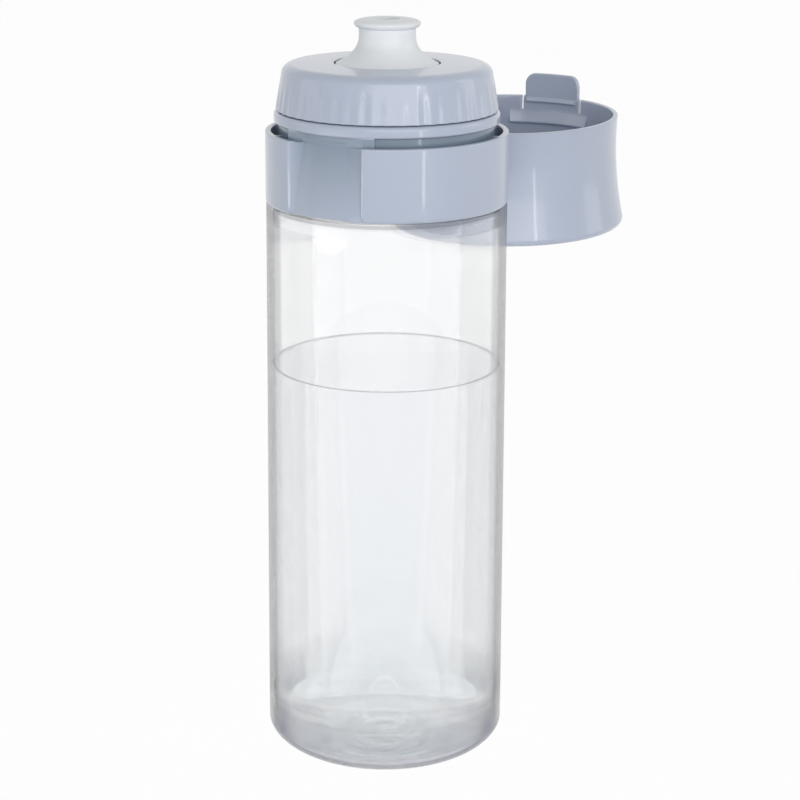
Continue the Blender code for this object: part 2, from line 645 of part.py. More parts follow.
def build_cap():
    """Flip cap with its latch tongue and hinge knuckle, swung open on the hinge."""
    swing = bpy.data.objects.new("cap_hinge_axis", None)
    bpy.context.collection.objects.link(swing)
    swing.location = (0.0, HINGE_Y, HINGE_Z)
    swing.rotation_euler = (-radians(OPENING_ANGLE), 0.0, 0.0)
    bpy.context.view_layer.update()
    to_axis = Matrix.Translation((0.0, -HINGE_Y, -HINGE_Z))
    pieces = {"shell": cap_shell(), "slots": gathered(tongue_slots()), "tongue": tongue(),
              "ridges": gathered(tongue_ridges()), "arm": hinge_arm()}
    for mesh in pieces.values():
        bmesh.ops.transform(mesh, matrix=to_axis, verts=mesh.verts)
    cap = new_object("flip_cap", pieces["shell"], TINTED)
    cap.parent = swing
    boolean(cap, pieces["slots"], "DIFFERENCE", "slots")
    boolean(cap, pieces["tongue"], "UNION", "tongue")
    boolean(cap, pieces["ridges"], "UNION", "ridges")
    boolean(cap, pieces["arm"], "UNION", "arm")
    boolean(cap, pin_hole(PIN_RADIUS + PIN_ROOM), "DIFFERENCE", "pin_hole")
    return cap


def build_pin():
    """Hinge pin through both ears and the knuckle."""
    half = KNUCKLE_HALF_WIDTH + KNUCKLE_SIDE_GAP + EAR_WIDTH - PIN_SHORT
    pin = new_object("hinge_pin", rod(PIN_RADIUS, -half, half), STEEL)
    pin.location = (0.0, HINGE_Y, HINGE_Z)
    return pin


def stem_plug():
    """Return the plug that closes the mouthpiece and the spokes that hold it in the stem."""
    low = STEM_TOP - SPOKE_HEIGHT - STEM_CHAMFER
    high = low + SPOKE_HEIGHT
    reach = STEM_RADIUS - STEM_WALL / 2
    outline = [(0.0, low - FIT), (PLUG_RADIUS - PLUG_CHAMFER, low - FIT), (PLUG_RADIUS, high)]
    outline += [(PLUG_RADIUS, PLUG_TOP - PLUG_CHAMFER), (PLUG_RADIUS - PLUG_CHAMFER, PLUG_TOP), (0.0, PLUG_TOP)]
    meshes = [turned(outline, SMALL_FACETS)]
    for spoke in range(SPOKE_COUNT):
        bar = block((0.0, -SPOKE_WIDTH / 2, low), (reach, SPOKE_WIDTH / 2, high))
        turn = Matrix.Rotation(2 * pi * spoke / SPOKE_COUNT, 3, "Z")
        bmesh.ops.rotate(bar, verts=bar.verts, cent=(0, 0, 0), matrix=turn)
        meshes.append(bar)
    return meshes


def vent_holes():
    """Return the cutters for the vent valve's stem hole and the air holes round it."""
    low = WELL_UNDERSIDE - OVERRUN
    high = WELL_FLOOR + OVERRUN
    holes = [post(VALVE_STEM_RADIUS + FIT, (0.0, VALVE_OFFSET), low, high, 8)]
    for hole in range(VENT_HOLE_COUNT):
        angle = 2 * pi * (hole + 0.5) / VENT_HOLE_COUNT
        centre = (VENT_HOLE_OFFSET * cos(angle), VALVE_OFFSET + VENT_HOLE_OFFSET * sin(angle))
        holes.append(post(VENT_HOLE_RADIUS, centre, low, high, 6))
    return holes


def press_grip(mesh):
    """Draw in the foot of each of the lid's facets, so that the edges between them stand as grip ribs."""
    foot = [edge for edge in mesh.edges
            if all(abs(v.co.z - LID_BOTTOM) < FIT and v.co.xy.length > LID_RADIUS - FIT for v in edge.verts)]
    split = bmesh.ops.subdivide_edges(mesh, edges=foot, cuts=1)
    middles = [item for item in split["geom_inner"] if isinstance(item, bmesh.types.BMVert)]
    for vertex in middles:
        vertex.co.xy = vertex.co.xy.normalized() * (LID_RADIUS - GRIP_DEPTH)
    sides = [face for vertex in middles for face in vertex.link_faces
             if max(corner.co.z for corner in face.verts) > LID_BOTTOM + FIT]
    bmesh.ops.poke(mesh, faces=sides)


def build_lid():
    """Screw lid: ribbed grip, skirt over the neck, well for the mouthpiece, stem, plug and filter ring."""
    stem_bore = STEM_RADIUS - STEM_WALL
    groove_floor = STEM_RADIUS - SEAL_GROOVE_DEPTH
    groove_bottom = GROOVE_TOP - SEAL_GROOVE_HEIGHT
    skirt_bottom = LID_BOTTOM - LID_SKIRT_LENGTH
    grip_top = LID_BOTTOM + (LID_TOP - LID_SHOULDER - LID_BOTTOM) * GRIP_HEIGHT_SHARE
    grip_radius = LID_RADIUS - LID_DRAFT * GRIP_HEIGHT_SHARE
    outline = arc((LID_TOP_RADIUS - LID_SHOULDER, LID_TOP - LID_SHOULDER), (LID_SHOULDER, LID_SHOULDER),
                  90.0, 0.0, 5)
    outline += [(grip_radius, grip_top), (LID_RADIUS, LID_BOTTOM), (SKIRT_OUTER, LID_BOTTOM)]
    outline += [(SKIRT_OUTER, skirt_bottom), (SKIRT_INNER, skirt_bottom), (SKIRT_INNER, LID_CEILING)]
    outline += [(FILTER_RING_OUTER, LID_CEILING), (FILTER_RING_OUTER, FILTER_RING_BOTTOM)]
    outline += [(FILTER_RING_INNER, FILTER_RING_BOTTOM), (FILTER_RING_INNER, LID_CEILING)]
    outline += [(WELL_RADIUS + WELL_WALL, LID_CEILING), (WELL_RADIUS + WELL_WALL, WELL_UNDERSIDE)]
    outline += [(stem_bore, WELL_UNDERSIDE), (stem_bore, STEM_TOP), (STEM_RADIUS - STEM_CHAMFER, STEM_TOP)]
    outline += [(STEM_RADIUS, STEM_TOP - STEM_CHAMFER), (STEM_RADIUS, GROOVE_TOP), (groove_floor, GROOVE_TOP)]
    outline += [(groove_floor, groove_bottom), (STEM_RADIUS, groove_bottom), (STEM_RADIUS, WELL_FLOOR)]
    outline += [(WELL_RADIUS, WELL_FLOOR), (WELL_RADIUS, LID_TOP)]
    mesh = turned(outline, GRIP_RIBS)
    press_grip(mesh)
    lid = new_object("screw_lid", mesh, TINTED)
    boolean(lid, gathered(stem_plug()), "UNION", "plug", crossing=True)
    boolean(lid, gathered(vent_holes()), "DIFFERENCE", "vent_holes")
    return lid


def build_mouthpiece():
    """Push-pull mouthpiece: lipped top with a drinking hole, straight neck and a flared skirt."""
    flare_top = MOUTH_BASE + MOUTH_FLARE_HEIGHT
    lip_middle = MOUTH_TOP - LIP_CROWN_HEIGHT
    lip_width = LIP_RADIUS - MOUTH_NECK_RADIUS
    outline = [(MOUTH_HOLE_RADIUS, MOUTH_TOP - MOUTH_HOLE_ROUND), (MOUTH_HOLE_RADIUS + MOUTH_HOLE_ROUND, MOUTH_TOP)]
    outline += arc((LIP_RADIUS - LIP_CROWN_WIDTH, lip_middle), (LIP_CROWN_WIDTH, LIP_CROWN_HEIGHT), 90.0, 0.0, 4)
    outline += arc((MOUTH_NECK_RADIUS, lip_middle), (lip_width, LIP_UNDERSIDE), -30.0, -90.0, 2)
    for step in range(FLARE_STEPS + 1):
        share = step / FLARE_STEPS
        radius = MOUTH_NECK_RADIUS + (MOUTH_FLARE_RADIUS - MOUTH_NECK_RADIUS) * share * share
        outline.append((radius, flare_top - MOUTH_FLARE_HEIGHT * share))
    outline += [(MOUTH_FLARE_RADIUS - MOUTH_FLARE_EDGE, MOUTH_BASE), (MOUTH_BORE, MOUTH_BASE + MOUTH_HOLLOW)]
    outline += [(MOUTH_BORE, MOUTH_CEILING), (MOUTH_HOLE_RADIUS, MOUTH_CEILING)]
    return new_object("mouthpiece", turned(outline, SPOUT_FACETS), WHITE)


def ring(name, inner, outer, low, high, facets, finish):
    """Flat ring or washer with a square section."""
    outline = [(inner, high), (outer, high), (outer, low), (inner, low)]
    return new_object(name, turned(outline, facets), finish)


def plate(name, radius, low, high, facets, finish, chamfer=0.0):
    """Round plate, with chamfered edges if a chamfer is given."""
    outline = [(0.0, high), (radius - chamfer, high), (radius, high - chamfer)]
    outline += [(radius, low + chamfer), (radius - chamfer, low), (0.0, low)]
    if chamfer == 0.0:
        outline = [(0.0, high), (radius, high), (radius, low), (0.0, low)]
    return new_object(name, turned(outline, facets), finish)


def build_spout_seal():
    """Round silicone ring in the stem's groove."""
    radius = SEAL_SECTION / 2
    centre_r = STEM_RADIUS - SEAL_GROOVE_DEPTH + SEAL_ROOM + radius
    centre_z = GROOVE_TOP - SEAL_GROOVE_HEIGHT / 2
    outline = arc((centre_r, centre_z), (radius, radius), 360.0, 0.0, 6)[:-1]
    return new_object("spout_seal", turned(outline, SPOUT_FACETS), SILICONE)


def build_lid_gasket():
    """Flat gasket between the neck's rim and the lid."""
    return ring("lid_gasket", NECK_INNER - GASKET_ROOM, SKIRT_INNER - FIT, GASKET_BOTTOM,
                GASKET_BOTTOM + GASKET_HEIGHT, BODY_FACETS, SILICONE)


def build_vent_valve():
    """Umbrella valve under the well's floor, with its stem through the floor and a bulb above it."""
    top = WELL_UNDERSIDE - FIT
    bulb_low = WELL_FLOOR + FIT
    outline = [(0.0, bulb_low + VALVE_BULB_HEIGHT), (VALVE_STEM_RADIUS, bulb_low + VALVE_BULB_HEIGHT)]
    outline += [(VALVE_BULB_RADIUS, bulb_low), (VALVE_STEM_RADIUS, bulb_low), (VALVE_STEM_RADIUS, top)]
    outline += [(VALVE_DISC_RADIUS, top), (VALVE_DISC_RADIUS, top - VALVE_DISC_HEIGHT / 3)]
    outline += [(VALVE_STEM_RADIUS, top - VALVE_DISC_HEIGHT), (0.0, top - VALVE_DISC_HEIGHT)]
    valve = new_object("vent_valve", turned(outline, SMALL_FACETS), SILICONE)
    valve.location = (0.0, VALVE_OFFSET, 0.0)
    return valve


def build_filter():
    """Filter stack, hung under the lid's ring: seal, fleece, carbon disc, fleece and the slotted holder."""
    seal_top = FILTER_RING_BOTTOM - FIT
    seal_low = seal_top - DISC_SEAL_HEIGHT
    upper_low = seal_low - FIT - FLEECE_THICKNESS
    disc_top = upper_low - FIT
    disc_low = disc_top - DISC_HEIGHT
    lower_top = disc_low - FIT
    floor_top = lower_top - FLEECE_THICKNESS - FIT
    ring("disc_seal_ring", FILTER_RING_INNER, FILTER_RING_INNER + DISC_SEAL_WIDTH - FIT, seal_low, seal_top,
         FILTER_FACETS, SILICONE)
    plate("disc_fleece_top", DISC_RADIUS, upper_low, upper_low + FLEECE_THICKNESS, FILTER_FACETS, FLEECE)
    plate("filter_disc", DISC_RADIUS, disc_low, disc_top, FILTER_FACETS, CARBON, DISC_CHAMFER)
    plate("disc_fleece_bottom", DISC_RADIUS, lower_top - FLEECE_THICKNESS, lower_top, FILTER_FACETS, FLEECE)
    build_holder(floor_top)


def build_holder(floor_top):
    """Holder: a shallow basket with a slotted floor that clips over the lid's ring."""
    low = floor_top - HOLDER_FLOOR
    rim = FILTER_RING_BOTTOM + HOLDER_OVERLAP
    outline = [(0.0, floor_top), (HOLDER_INNER, floor_top), (HOLDER_INNER, rim), (HOLDER_OUTER, rim)]
    outline += arc((HOLDER_OUTER - HOLDER_CORNER, low + HOLDER_CORNER), (HOLDER_CORNER, HOLDER_CORNER),
                   0.0, -90.0, 2)
    outline += [(0.0, low)]
    holder = new_object("filter_holder", turned(outline, FILTER_FACETS), TINTED)
    slots = []
    for number in range(HOLDER_SLOTS):
        slot = block((HOLDER_SLOT_START, -HOLDER_SLOT_WIDTH / 2, low - OVERRUN),
                     (HOLDER_SLOT_START + HOLDER_SLOT_LENGTH, HOLDER_SLOT_WIDTH / 2, floor_top + OVERRUN))
        turn = Matrix.Rotation(2 * pi * number / HOLDER_SLOTS, 3, "Z")
        bmesh.ops.rotate(slot, verts=slot.verts, cent=(0, 0, 0), matrix=turn)
        slots.append(slot)
    boolean(holder, gathered(slots), "DIFFERENCE", "slots")
    return holder


def main():
    """Build every piece of the bottle."""
    clear_scene()
    build_body()
    build_collar()
    build_cap()
    build_pin()
    build_lid()
    build_mouthpiece()
    build_spout_seal()
    build_lid_gasket()
    build_vent_valve()
    build_filter()


main()
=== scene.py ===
"""Looks of the filter water bottle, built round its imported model.

The bottle stands on Z = 0 with its axis on Z, its latch recess towards -Y and its cap's hinge towards +Y.
All lengths are in metres. An angle "about the front" is 0 at -Y and grows towards +X.
"""

import json
import logging
from dataclasses import dataclass, field, replace
from enum import Enum
from math import cos, pi, radians, sin, sqrt, tan
from typing import Iterable, Optional, Sequence

import bmesh
import bpy
from bmesh.types import BMEdge, BMesh, BMVert
from bpy.types import Material, Node, NodeSocket, NodeTree, Object
from mathutils import Matrix, Vector

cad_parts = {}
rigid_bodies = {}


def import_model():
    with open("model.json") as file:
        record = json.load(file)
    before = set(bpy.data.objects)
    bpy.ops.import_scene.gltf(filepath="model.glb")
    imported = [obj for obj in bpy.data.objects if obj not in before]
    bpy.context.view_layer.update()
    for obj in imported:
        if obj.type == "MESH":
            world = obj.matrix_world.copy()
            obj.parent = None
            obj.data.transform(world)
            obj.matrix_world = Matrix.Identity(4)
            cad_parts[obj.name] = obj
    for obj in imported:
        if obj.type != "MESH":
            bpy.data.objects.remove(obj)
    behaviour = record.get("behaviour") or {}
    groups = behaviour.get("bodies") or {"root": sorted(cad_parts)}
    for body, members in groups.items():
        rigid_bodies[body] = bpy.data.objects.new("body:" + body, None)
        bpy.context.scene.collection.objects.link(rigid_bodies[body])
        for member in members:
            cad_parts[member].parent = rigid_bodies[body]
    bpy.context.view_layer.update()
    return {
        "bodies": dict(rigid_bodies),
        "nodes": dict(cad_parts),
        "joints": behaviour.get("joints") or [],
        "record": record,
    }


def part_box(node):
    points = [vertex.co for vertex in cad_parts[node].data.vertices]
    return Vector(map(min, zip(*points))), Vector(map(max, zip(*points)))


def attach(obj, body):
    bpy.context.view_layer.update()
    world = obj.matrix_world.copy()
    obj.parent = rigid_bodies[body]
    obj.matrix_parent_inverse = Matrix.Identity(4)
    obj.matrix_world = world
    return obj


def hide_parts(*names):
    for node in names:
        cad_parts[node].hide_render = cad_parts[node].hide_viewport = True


Point = tuple[float, float]
Point3 = tuple[float, float, float]
Outline = list[Point]
Colour = tuple[float, float, float, float]
Inputs = dict[object, object]

LOG = logging.getLogger("filter_bottle")
MERGE = 1e-7  # Points closer than this are one.
HAIR = 0.00005  # A step that is too small to see.
ROOT = 0.0005  # How far a joined solid runs into the wall that it stands on.
OVERRUN = 0.001  # How far a cutter runs past the surface that it cuts.
SHARP = 32.0  # Edges from this angle in degrees stay sharp.
WATER_SHARP = 60.0
ORIGIN = (0.0, 0.0, 0.0)
UP = Vector((0.0, 0.0, 1.0))
WHITE = (1.0, 1.0, 1.0, 1.0)


class Finish(Enum):
    """The record's material slots."""

    CLEAR = "clear_body"
    TINTED = "tinted_plastic"
    WHITE = "white_plastic"
    STEEL = "pin_steel"
    SILICONE = "silicone"
    CARBON = "carbon"
    FLEECE = "fleece"


class Part(Enum):
    """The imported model's bodies that new pieces ride on."""

    BOTTLE = "bottle"
    CAP = "cap"
    LID = "lid"
    SPOUT = "spout"


class Operation(Enum):
    """How one solid is combined with another."""

    JOIN = "UNION"
    CUT = "DIFFERENCE"


# Outlines and solids


def arc(centre: Point, radii: Point, start: float, end: float, steps: int = 8) -> Outline:
    """Return points of an elliptical arc.

    Args:
        centre: Radius and height of the arc's centre.
        radii: Half-axes along radius and height.
        start: First angle in degrees, from +radius towards +height.
        end: Last angle in degrees.
        steps: Number of chords.

    Returns:
        The points, first and last included.
    """
    angles = [radians(start + (end - start) * step / steps) for step in range(steps + 1)]
    return [(centre[0] + radii[0] * cos(a), centre[1] + radii[1] * sin(a)) for a in angles]


def filleted(corners: Sequence[tuple[float, float, float]], steps: int = 5) -> Outline:
    """Round the corners of a closed outline.

    Args:
        corners: Radius, height and rounding radius of each corner.
        steps: Chords in each rounding.

    Returns:
        The outline with each corner replaced by its arc.
    """
    outline: Outline = []
    for index, (x, y, rounding) in enumerate(corners):
        here = Vector((x, y))
        before = Vector(corners[index - 1][:2]) - here
        after = Vector(corners[(index + 1) % len(corners)][:2]) - here
        if rounding == 0.0 or before.length < MERGE or after.length < MERGE:
            outline.append((x, y))
            continue
        half = before.angle(after) / 2.0
        if half > radians(88.0):
            outline.append((x, y))
            continue
        reach = min(rounding / tan(half), before.length * 0.49, after.length * 0.49)
        first = here + before.normalized() * reach
        last = here + after.normalized() * reach
        centre = here + (before.normalized() + after.normalized()).normalized() * (reach / cos(half))
        turn = (first - centre).angle_signed(last - centre)
        for step in range(steps + 1):
            spoke = (first - centre).copy()
            spoke.rotate(Matrix.Rotation(-turn * step / steps, 2))
            outline.append(tuple(centre + spoke))
    return outline


def front_point(radius: float, angle: float, height: float) -> Vector:
    """Return the point at a radius and an angle in degrees about the front."""
    return Vector((radius * sin(radians(angle)), -radius * cos(radians(angle)), height))


def cleaned(mesh: BMesh) -> BMesh:
    """Merge a bmesh's doubles and turn its faces outwards."""
    bmesh.ops.remove_doubles(mesh, verts=mesh.verts, dist=MERGE)
    bmesh.ops.recalc_face_normals(mesh, faces=mesh.faces)
    return mesh


def turned(mesh: BMesh, angle: float) -> BMesh:
    """Turn a bmesh round Z by an angle in radians."""
    bmesh.ops.rotate(mesh, verts=mesh.verts, cent=ORIGIN, matrix=Matrix.Rotation(angle, 3, "Z"))
    return mesh


def rounded(mesh: BMesh, edges: Iterable[BMEdge], width: float, segments: int) -> BMesh:
    """Round some edges of a bmesh with a bevel of a width."""
    bmesh.ops.bevel(mesh, geom=list(edges), offset=width, offset_type="OFFSET", segments=segments,
                    profile=0.5, affect="EDGES", material=-1)
    return mesh


def thickened(mesh: BMesh, step: Point3) -> None:
    """Extrude all faces of a flat bmesh into a solid."""
    grown = bmesh.ops.extrude_face_region(mesh, geom=list(mesh.faces))
    moved = [item for item in grown["geom"] if isinstance(item, BMVert)]
    bmesh.ops.translate(mesh, verts=moved, vec=step)


def lathe(outline: Outline, facets: int) -> BMesh:
    """Spin an outline once round Z.

    Args:
        outline: Points of (radius, height). It is left open where both of its ends are on the axis.
        facets: Facets round the axis.

    Returns:
        A closed skin.
    """
    mesh = bmesh.new()
    corners = [mesh.verts.new((radius, 0.0, height)) for radius, height in outline]
    on_axis = outline[0][0] == 0.0 and outline[-1][0] == 0.0
    first = 1 if on_axis else 0
    edges = [mesh.edges.new((corners[i - 1], corners[i])) for i in range(first, len(corners))]
    bmesh.ops.spin(mesh, geom=corners + edges, cent=ORIGIN, axis=UP, angle=2 * pi, steps=facets,
                   use_merge=True)
    return cleaned(mesh)


def sector(outline: Outline, start: float, end: float, steps: int) -> BMesh:
    """Spin a filled outline round Z between two angles in degrees about the front.

    Args:
        outline: Points of (radius, height).
        start: First angle.
        end: Last angle.
        steps: Chords between them.

    Returns:
        A closed solid.
    """
    mesh = bmesh.new()
    face = mesh.faces.new([mesh.verts.new((radius, 0.0, height)) for radius, height in outline])
    turned(mesh, radians(start - 90.0))
    bmesh.ops.spin(mesh, geom=list(mesh.verts) + list(mesh.edges) + [face], cent=ORIGIN, axis=UP,
                   angle=radians(end - start), steps=steps, use_duplicate=False)
    return cleaned(mesh)


def prism(outline: Outline, low_x: float, high_x: float, rounding: float) -> BMesh:
    """Extrude a filled outline along X.

    Args:
        outline: Points of (Y, Z).
        low_x: Start of the prism.
        high_x: End of the prism.
        rounding: Width of the bevel round both end faces.

    Returns:
        A closed solid.
    """
    mesh = bmesh.new()
    mesh.faces.new([mesh.verts.new((low_x, y, z)) for y, z in outline])
    thickened(mesh, (high_x - low_x, 0.0, 0.0))
    cleaned(mesh)
    rims = [edge for edge in mesh.edges if edge.calc_face_angle(0.0) > radians(80.0)
            and abs(edge.verts[0].co.x - edge.verts[1].co.x) < MERGE]
    return rounded(mesh, rims, rounding, 3)


def lofted(loops: Sequence[Sequence[Vector]]) -> BMesh:
    """Join closed loops of points, each next to the last, into a solid."""
    mesh = bmesh.new()
    rings = [[mesh.verts.new(point) for point in points] for points in loops]
    edges = [[mesh.edges.new((ring[i - 1], ring[i])) for i in range(len(ring))] for ring in rings]
    for lower, upper in zip(edges, edges[1:]):
        bmesh.ops.bridge_loops(mesh, edges=lower + upper)
    mesh.faces.new(rings[0])
    mesh.faces.new(rings[-1])
    return cleaned(mesh)


def block(low: Sequence[float], high: Sequence[float], rounding: float = 0.0) -> BMesh:
    """Return a closed box between two corners, with its edges rounded by a bevel width."""
    size = Vector(high) - Vector(low)
    mesh = bmesh.new()
    bmesh.ops.create_cube(mesh, size=1.0)
    bmesh.ops.scale(mesh, verts=mesh.verts, vec=size)
    bmesh.ops.translate(mesh, verts=mesh.verts, vec=Vector(low) + size / 2)
    return rounded(mesh, mesh.edges, rounding, 2) if rounding > 0.0 else mesh


def cylinder(radius: float, start: Vector, end: Vector, facets: int = 32) -> BMesh:
    """Return a closed cylinder between two points."""
    mesh = bmesh.new()
    axis = end - start
    bmesh.ops.create_cone(mesh, cap_ends=True, segments=facets, radius1=radius, radius2=radius,
                          depth=axis.length)
    turn = UP.rotation_difference(axis).to_matrix()
    bmesh.ops.rotate(mesh, verts=mesh.verts, cent=ORIGIN, matrix=turn)
    bmesh.ops.translate(mesh, verts=mesh.verts, vec=(start + end) / 2)
    return mesh


def gathered(meshes: Iterable[BMesh]) -> BMesh:
    """Put several bmeshes into one, each with its faces turned outwards."""
    whole = bmesh.new()
    for mesh in meshes:
        bmesh.ops.recalc_face_normals(mesh, faces=mesh.faces)
        data = bpy.data.meshes.new("gathered")
        mesh.to_mesh(data)
        mesh.free()
        whole.from_mesh(data)
        bpy.data.meshes.remove(data)
    return whole


def helix_ridge(section: Outline, root: float, pitch: float, turns: float, start_z: float,
                facets: int) -> BMesh:
    """Wind a filled section up a helix, with both of its ends run out into the wall.

    Args:
        section: Points of (reach from the root radius, height).
        root: Radius that the ridge stands on.
        pitch: Climb in one turn.
        turns: Number of turns.
        start_z: Height of the first section.
        facets: Sections in one turn.

    Returns:
        A closed solid.
    """
    steps = int(turns * facets)
    run_out = facets // 8
    loops = []
    for step in range(steps + 1):
        fade = min(1.0, (step + 1) / run_out, (steps + 1 - step) / run_out)
        angle = 2 * pi * step / facets
        climb = start_z + pitch * step / facets
        loop = []
        for reach, height in section:
            radius = root + (reach * fade if abs(reach) > HAIR * 4 else reach)
            loop.append(Vector((radius * cos(angle), radius * sin(angle), climb + height)))
        loops.append(loop)
    return lofted(loops)


def to_object(name: str, mesh: BMesh, sharp_angle: float = SHARP) -> Object:
    """Turn a bmesh into an object at the origin, shaded smooth except along sharp edges."""
    data = bpy.data.meshes.new(name)
    mesh.to_mesh(data)
    mesh.free()
    data.shade_smooth()
    data.set_sharp_from_angle(angle=radians(sharp_angle))
    item = bpy.data.objects.new(name, data)
    bpy.context.scene.collection.objects.link(item)
    return item


def combine(target: Object, tool: BMesh, operation: Operation, crossing: bool = False) -> None:
    """Join a solid to a piece, or cut it out, and keep only the result.

    Args:
        target: The piece that changes.
        tool: The solid. It is used up.
        operation: Join or cut.
        crossing: Whether parts of the tool run through each other.
    """
    guide = to_object(target.name + "_guide", tool)
    modifier = target.modifiers.new("combine", "BOOLEAN")
    modifier.operation = operation.value
    modifier.solver = "EXACT"
    modifier.use_self = crossing
    modifier.object = guide
    keep_modified(target)
    used = guide.data
    bpy.data.objects.remove(guide, do_unlink=True)
    bpy.data.meshes.remove(used)


def keep_modified(piece: Object) -> None:
    """Keep what a piece's modifiers make of it as its mesh."""
    bpy.context.view_layer.update()
    depsgraph = bpy.context.evaluated_depsgraph_get()
    result = bpy.data.meshes.new_from_object(piece.evaluated_get(depsgraph), depsgraph=depsgraph)
    old = piece.data
    piece.modifiers.clear()
    piece.data = result
    result.name = piece.name
    bpy.data.meshes.remove(old)


def settle_shading(piece: Object, sharp_angle: float = SHARP) -> None:
    """Merge what a combination left doubled, mark sharp edges and let large faces rule the shading."""
    mesh = bmesh.new()
    mesh.from_mesh(piece.data)
    bmesh.ops.remove_doubles(mesh, verts=mesh.verts, dist=MERGE * 10)
    bmesh.ops.dissolve_degenerate(mesh, edges=mesh.edges, dist=MERGE * 10)
    mesh.to_mesh(piece.data)
    mesh.free()
    piece.data.shade_smooth()
    piece.data.set_sharp_from_angle(angle=radians(sharp_angle))
    weights = piece.modifiers.new("weights", "WEIGHTED_NORMAL")
    weights.mode = "FACE_AREA"
    weights.keep_sharp = True
    keep_modified(piece)


# Finishes


class Nodes:
    """Short ways to add and join nodes in one tree."""

    def __init__(self, tree: NodeTree) -> None:
        """Keep the tree that nodes are added to."""
        self.tree = tree

    def feed(self, node: Node, inputs: Inputs) -> Node:
        """Link or set some inputs of a node.

        Args:
            node: The node.
            inputs: A socket or a value for each input, by its name or number.

        Returns:
            The node.
        """
        for name, value in inputs.items():
            if isinstance(value, NodeSocket):
                self.tree.links.new(value, node.inputs[name])
            else:
                node.inputs[name].default_value = value
        return node

    def add(self, kind: str, inputs: Optional[Inputs] = None, **settings: object) -> Node:
        """Add a node.

        Args:
            kind: The node's type name.
            inputs: A socket or a value for each input, by its name or number.
            settings: Properties of the node.

        Returns:
            The new node.
        """
        node = self.tree.nodes.new(kind)
        for name, value in settings.items():
            setattr(node, name, value)
        return self.feed(node, inputs or {})

    def maths(self, operation: str, first: object, second: object = 0.0) -> NodeSocket:
        """Add a Math node whose operands are sockets or numbers, and return its result."""
        return self.add("ShaderNodeMath", {0: first, 1: second}, operation=operation).outputs[0]

    def mixed(self, factor: NodeSocket, first: object, second: object) -> NodeSocket:
        """Add a colour Mix node whose operands are sockets or colours, and return its result."""
        return self.add("ShaderNodeMix", {0: factor, 6: first, 7: second}, data_type="RGBA").outputs[2]

    def ranged(self, value: NodeSocket, span: Point, result: Point = (0.0, 1.0),
               smooth: bool = False) -> NodeSocket:
        """Map a value from one span to another.

        Args:
            value: The value.
            span: Where the value starts and ends.
            result: What it becomes there.
            smooth: Whether it eases in and out.

        Returns:
            The mapped value.
        """
        spans = {"Value": value, "From Min": span[0], "From Max": span[1], "To Min": result[0],
                 "To Max": result[1]}
        easing = {"interpolation_type": "SMOOTHSTEP"} if smooth else {}
        return self.add("ShaderNodeMapRange", spans, **easing).outputs["Result"]

    def parts(self, vector: NodeSocket) -> Node:
        """Add a node that splits a vector into X, Y and Z, and return it."""
        return self.add("ShaderNodeSeparateXYZ", {0: vector})

    def shaded(self, value: NodeSocket, colours: tuple[Colour, Colour],
               places: Point = (0.0, 1.0)) -> NodeSocket:
        """Turn a value into a colour.

        Args:
            value: The value.
            colours: The first and the last colour.
            places: The values at which they stand.

        Returns:
            The colour between them.
        """
        ramp = self.add("ShaderNodeValToRGB", {"Fac": value})
        for element, colour, place in zip(ramp.color_ramp.elements, colours, places):
            element.color = colour
            element.position = place
        return ramp.outputs["Color"]

    def camera_ray(self) -> NodeSocket:
        """Return a mask of what the camera sees directly."""
        return self.add("ShaderNodeLightPath").outputs["Is Camera Ray"]

    def background_rays(self) -> NodeSocket:
        """Return a mask of the rays that see the background: camera, mirrored and through clear parts."""
        path = self.add("ShaderNodeLightPath")
        seen = self.maths("MAXIMUM", path.outputs["Is Camera Ray"], path.outputs["Is Glossy Ray"])
        return self.maths("MAXIMUM", seen, path.outputs["Is Transmission Ray"])

    def end_with_mix(self, share: NodeSocket, first: Node, second: Node) -> None:
        """End the material with a mix of two shaders.

        Args:
            share: Share of the second shader.
            first: The first shader.
            second: The second shader.
        """
        mix = self.add("ShaderNodeMixShader", {0: share, 1: first.outputs[0], 2: second.outputs[0]})
        self.feed(self.tree.nodes["Material Output"], {"Surface": mix.outputs[0]})


def new_group(name: str, given: dict[str, str], results: dict[str, str]) -> tuple[Nodes, Node, Node]:
    """Start a shader node group.

    Args:
        name: The group's name.
        given: The kind of each input socket, by its name.
        results: The kind of each output socket, by its name.

    Returns:
        The group's nodes, its input node and its output node.
    """
    tree = bpy.data.node_groups.new(name, "ShaderNodeTree")
    for direction, sockets in (("INPUT", given), ("OUTPUT", results)):
        for label, kind in sockets.items():
            tree.interface.new_socket(name=label, in_out=direction, socket_type="NodeSocket" + kind)
    nodes = Nodes(tree)
    return nodes, nodes.add("NodeGroupInput"), nodes.add("NodeGroupOutput")


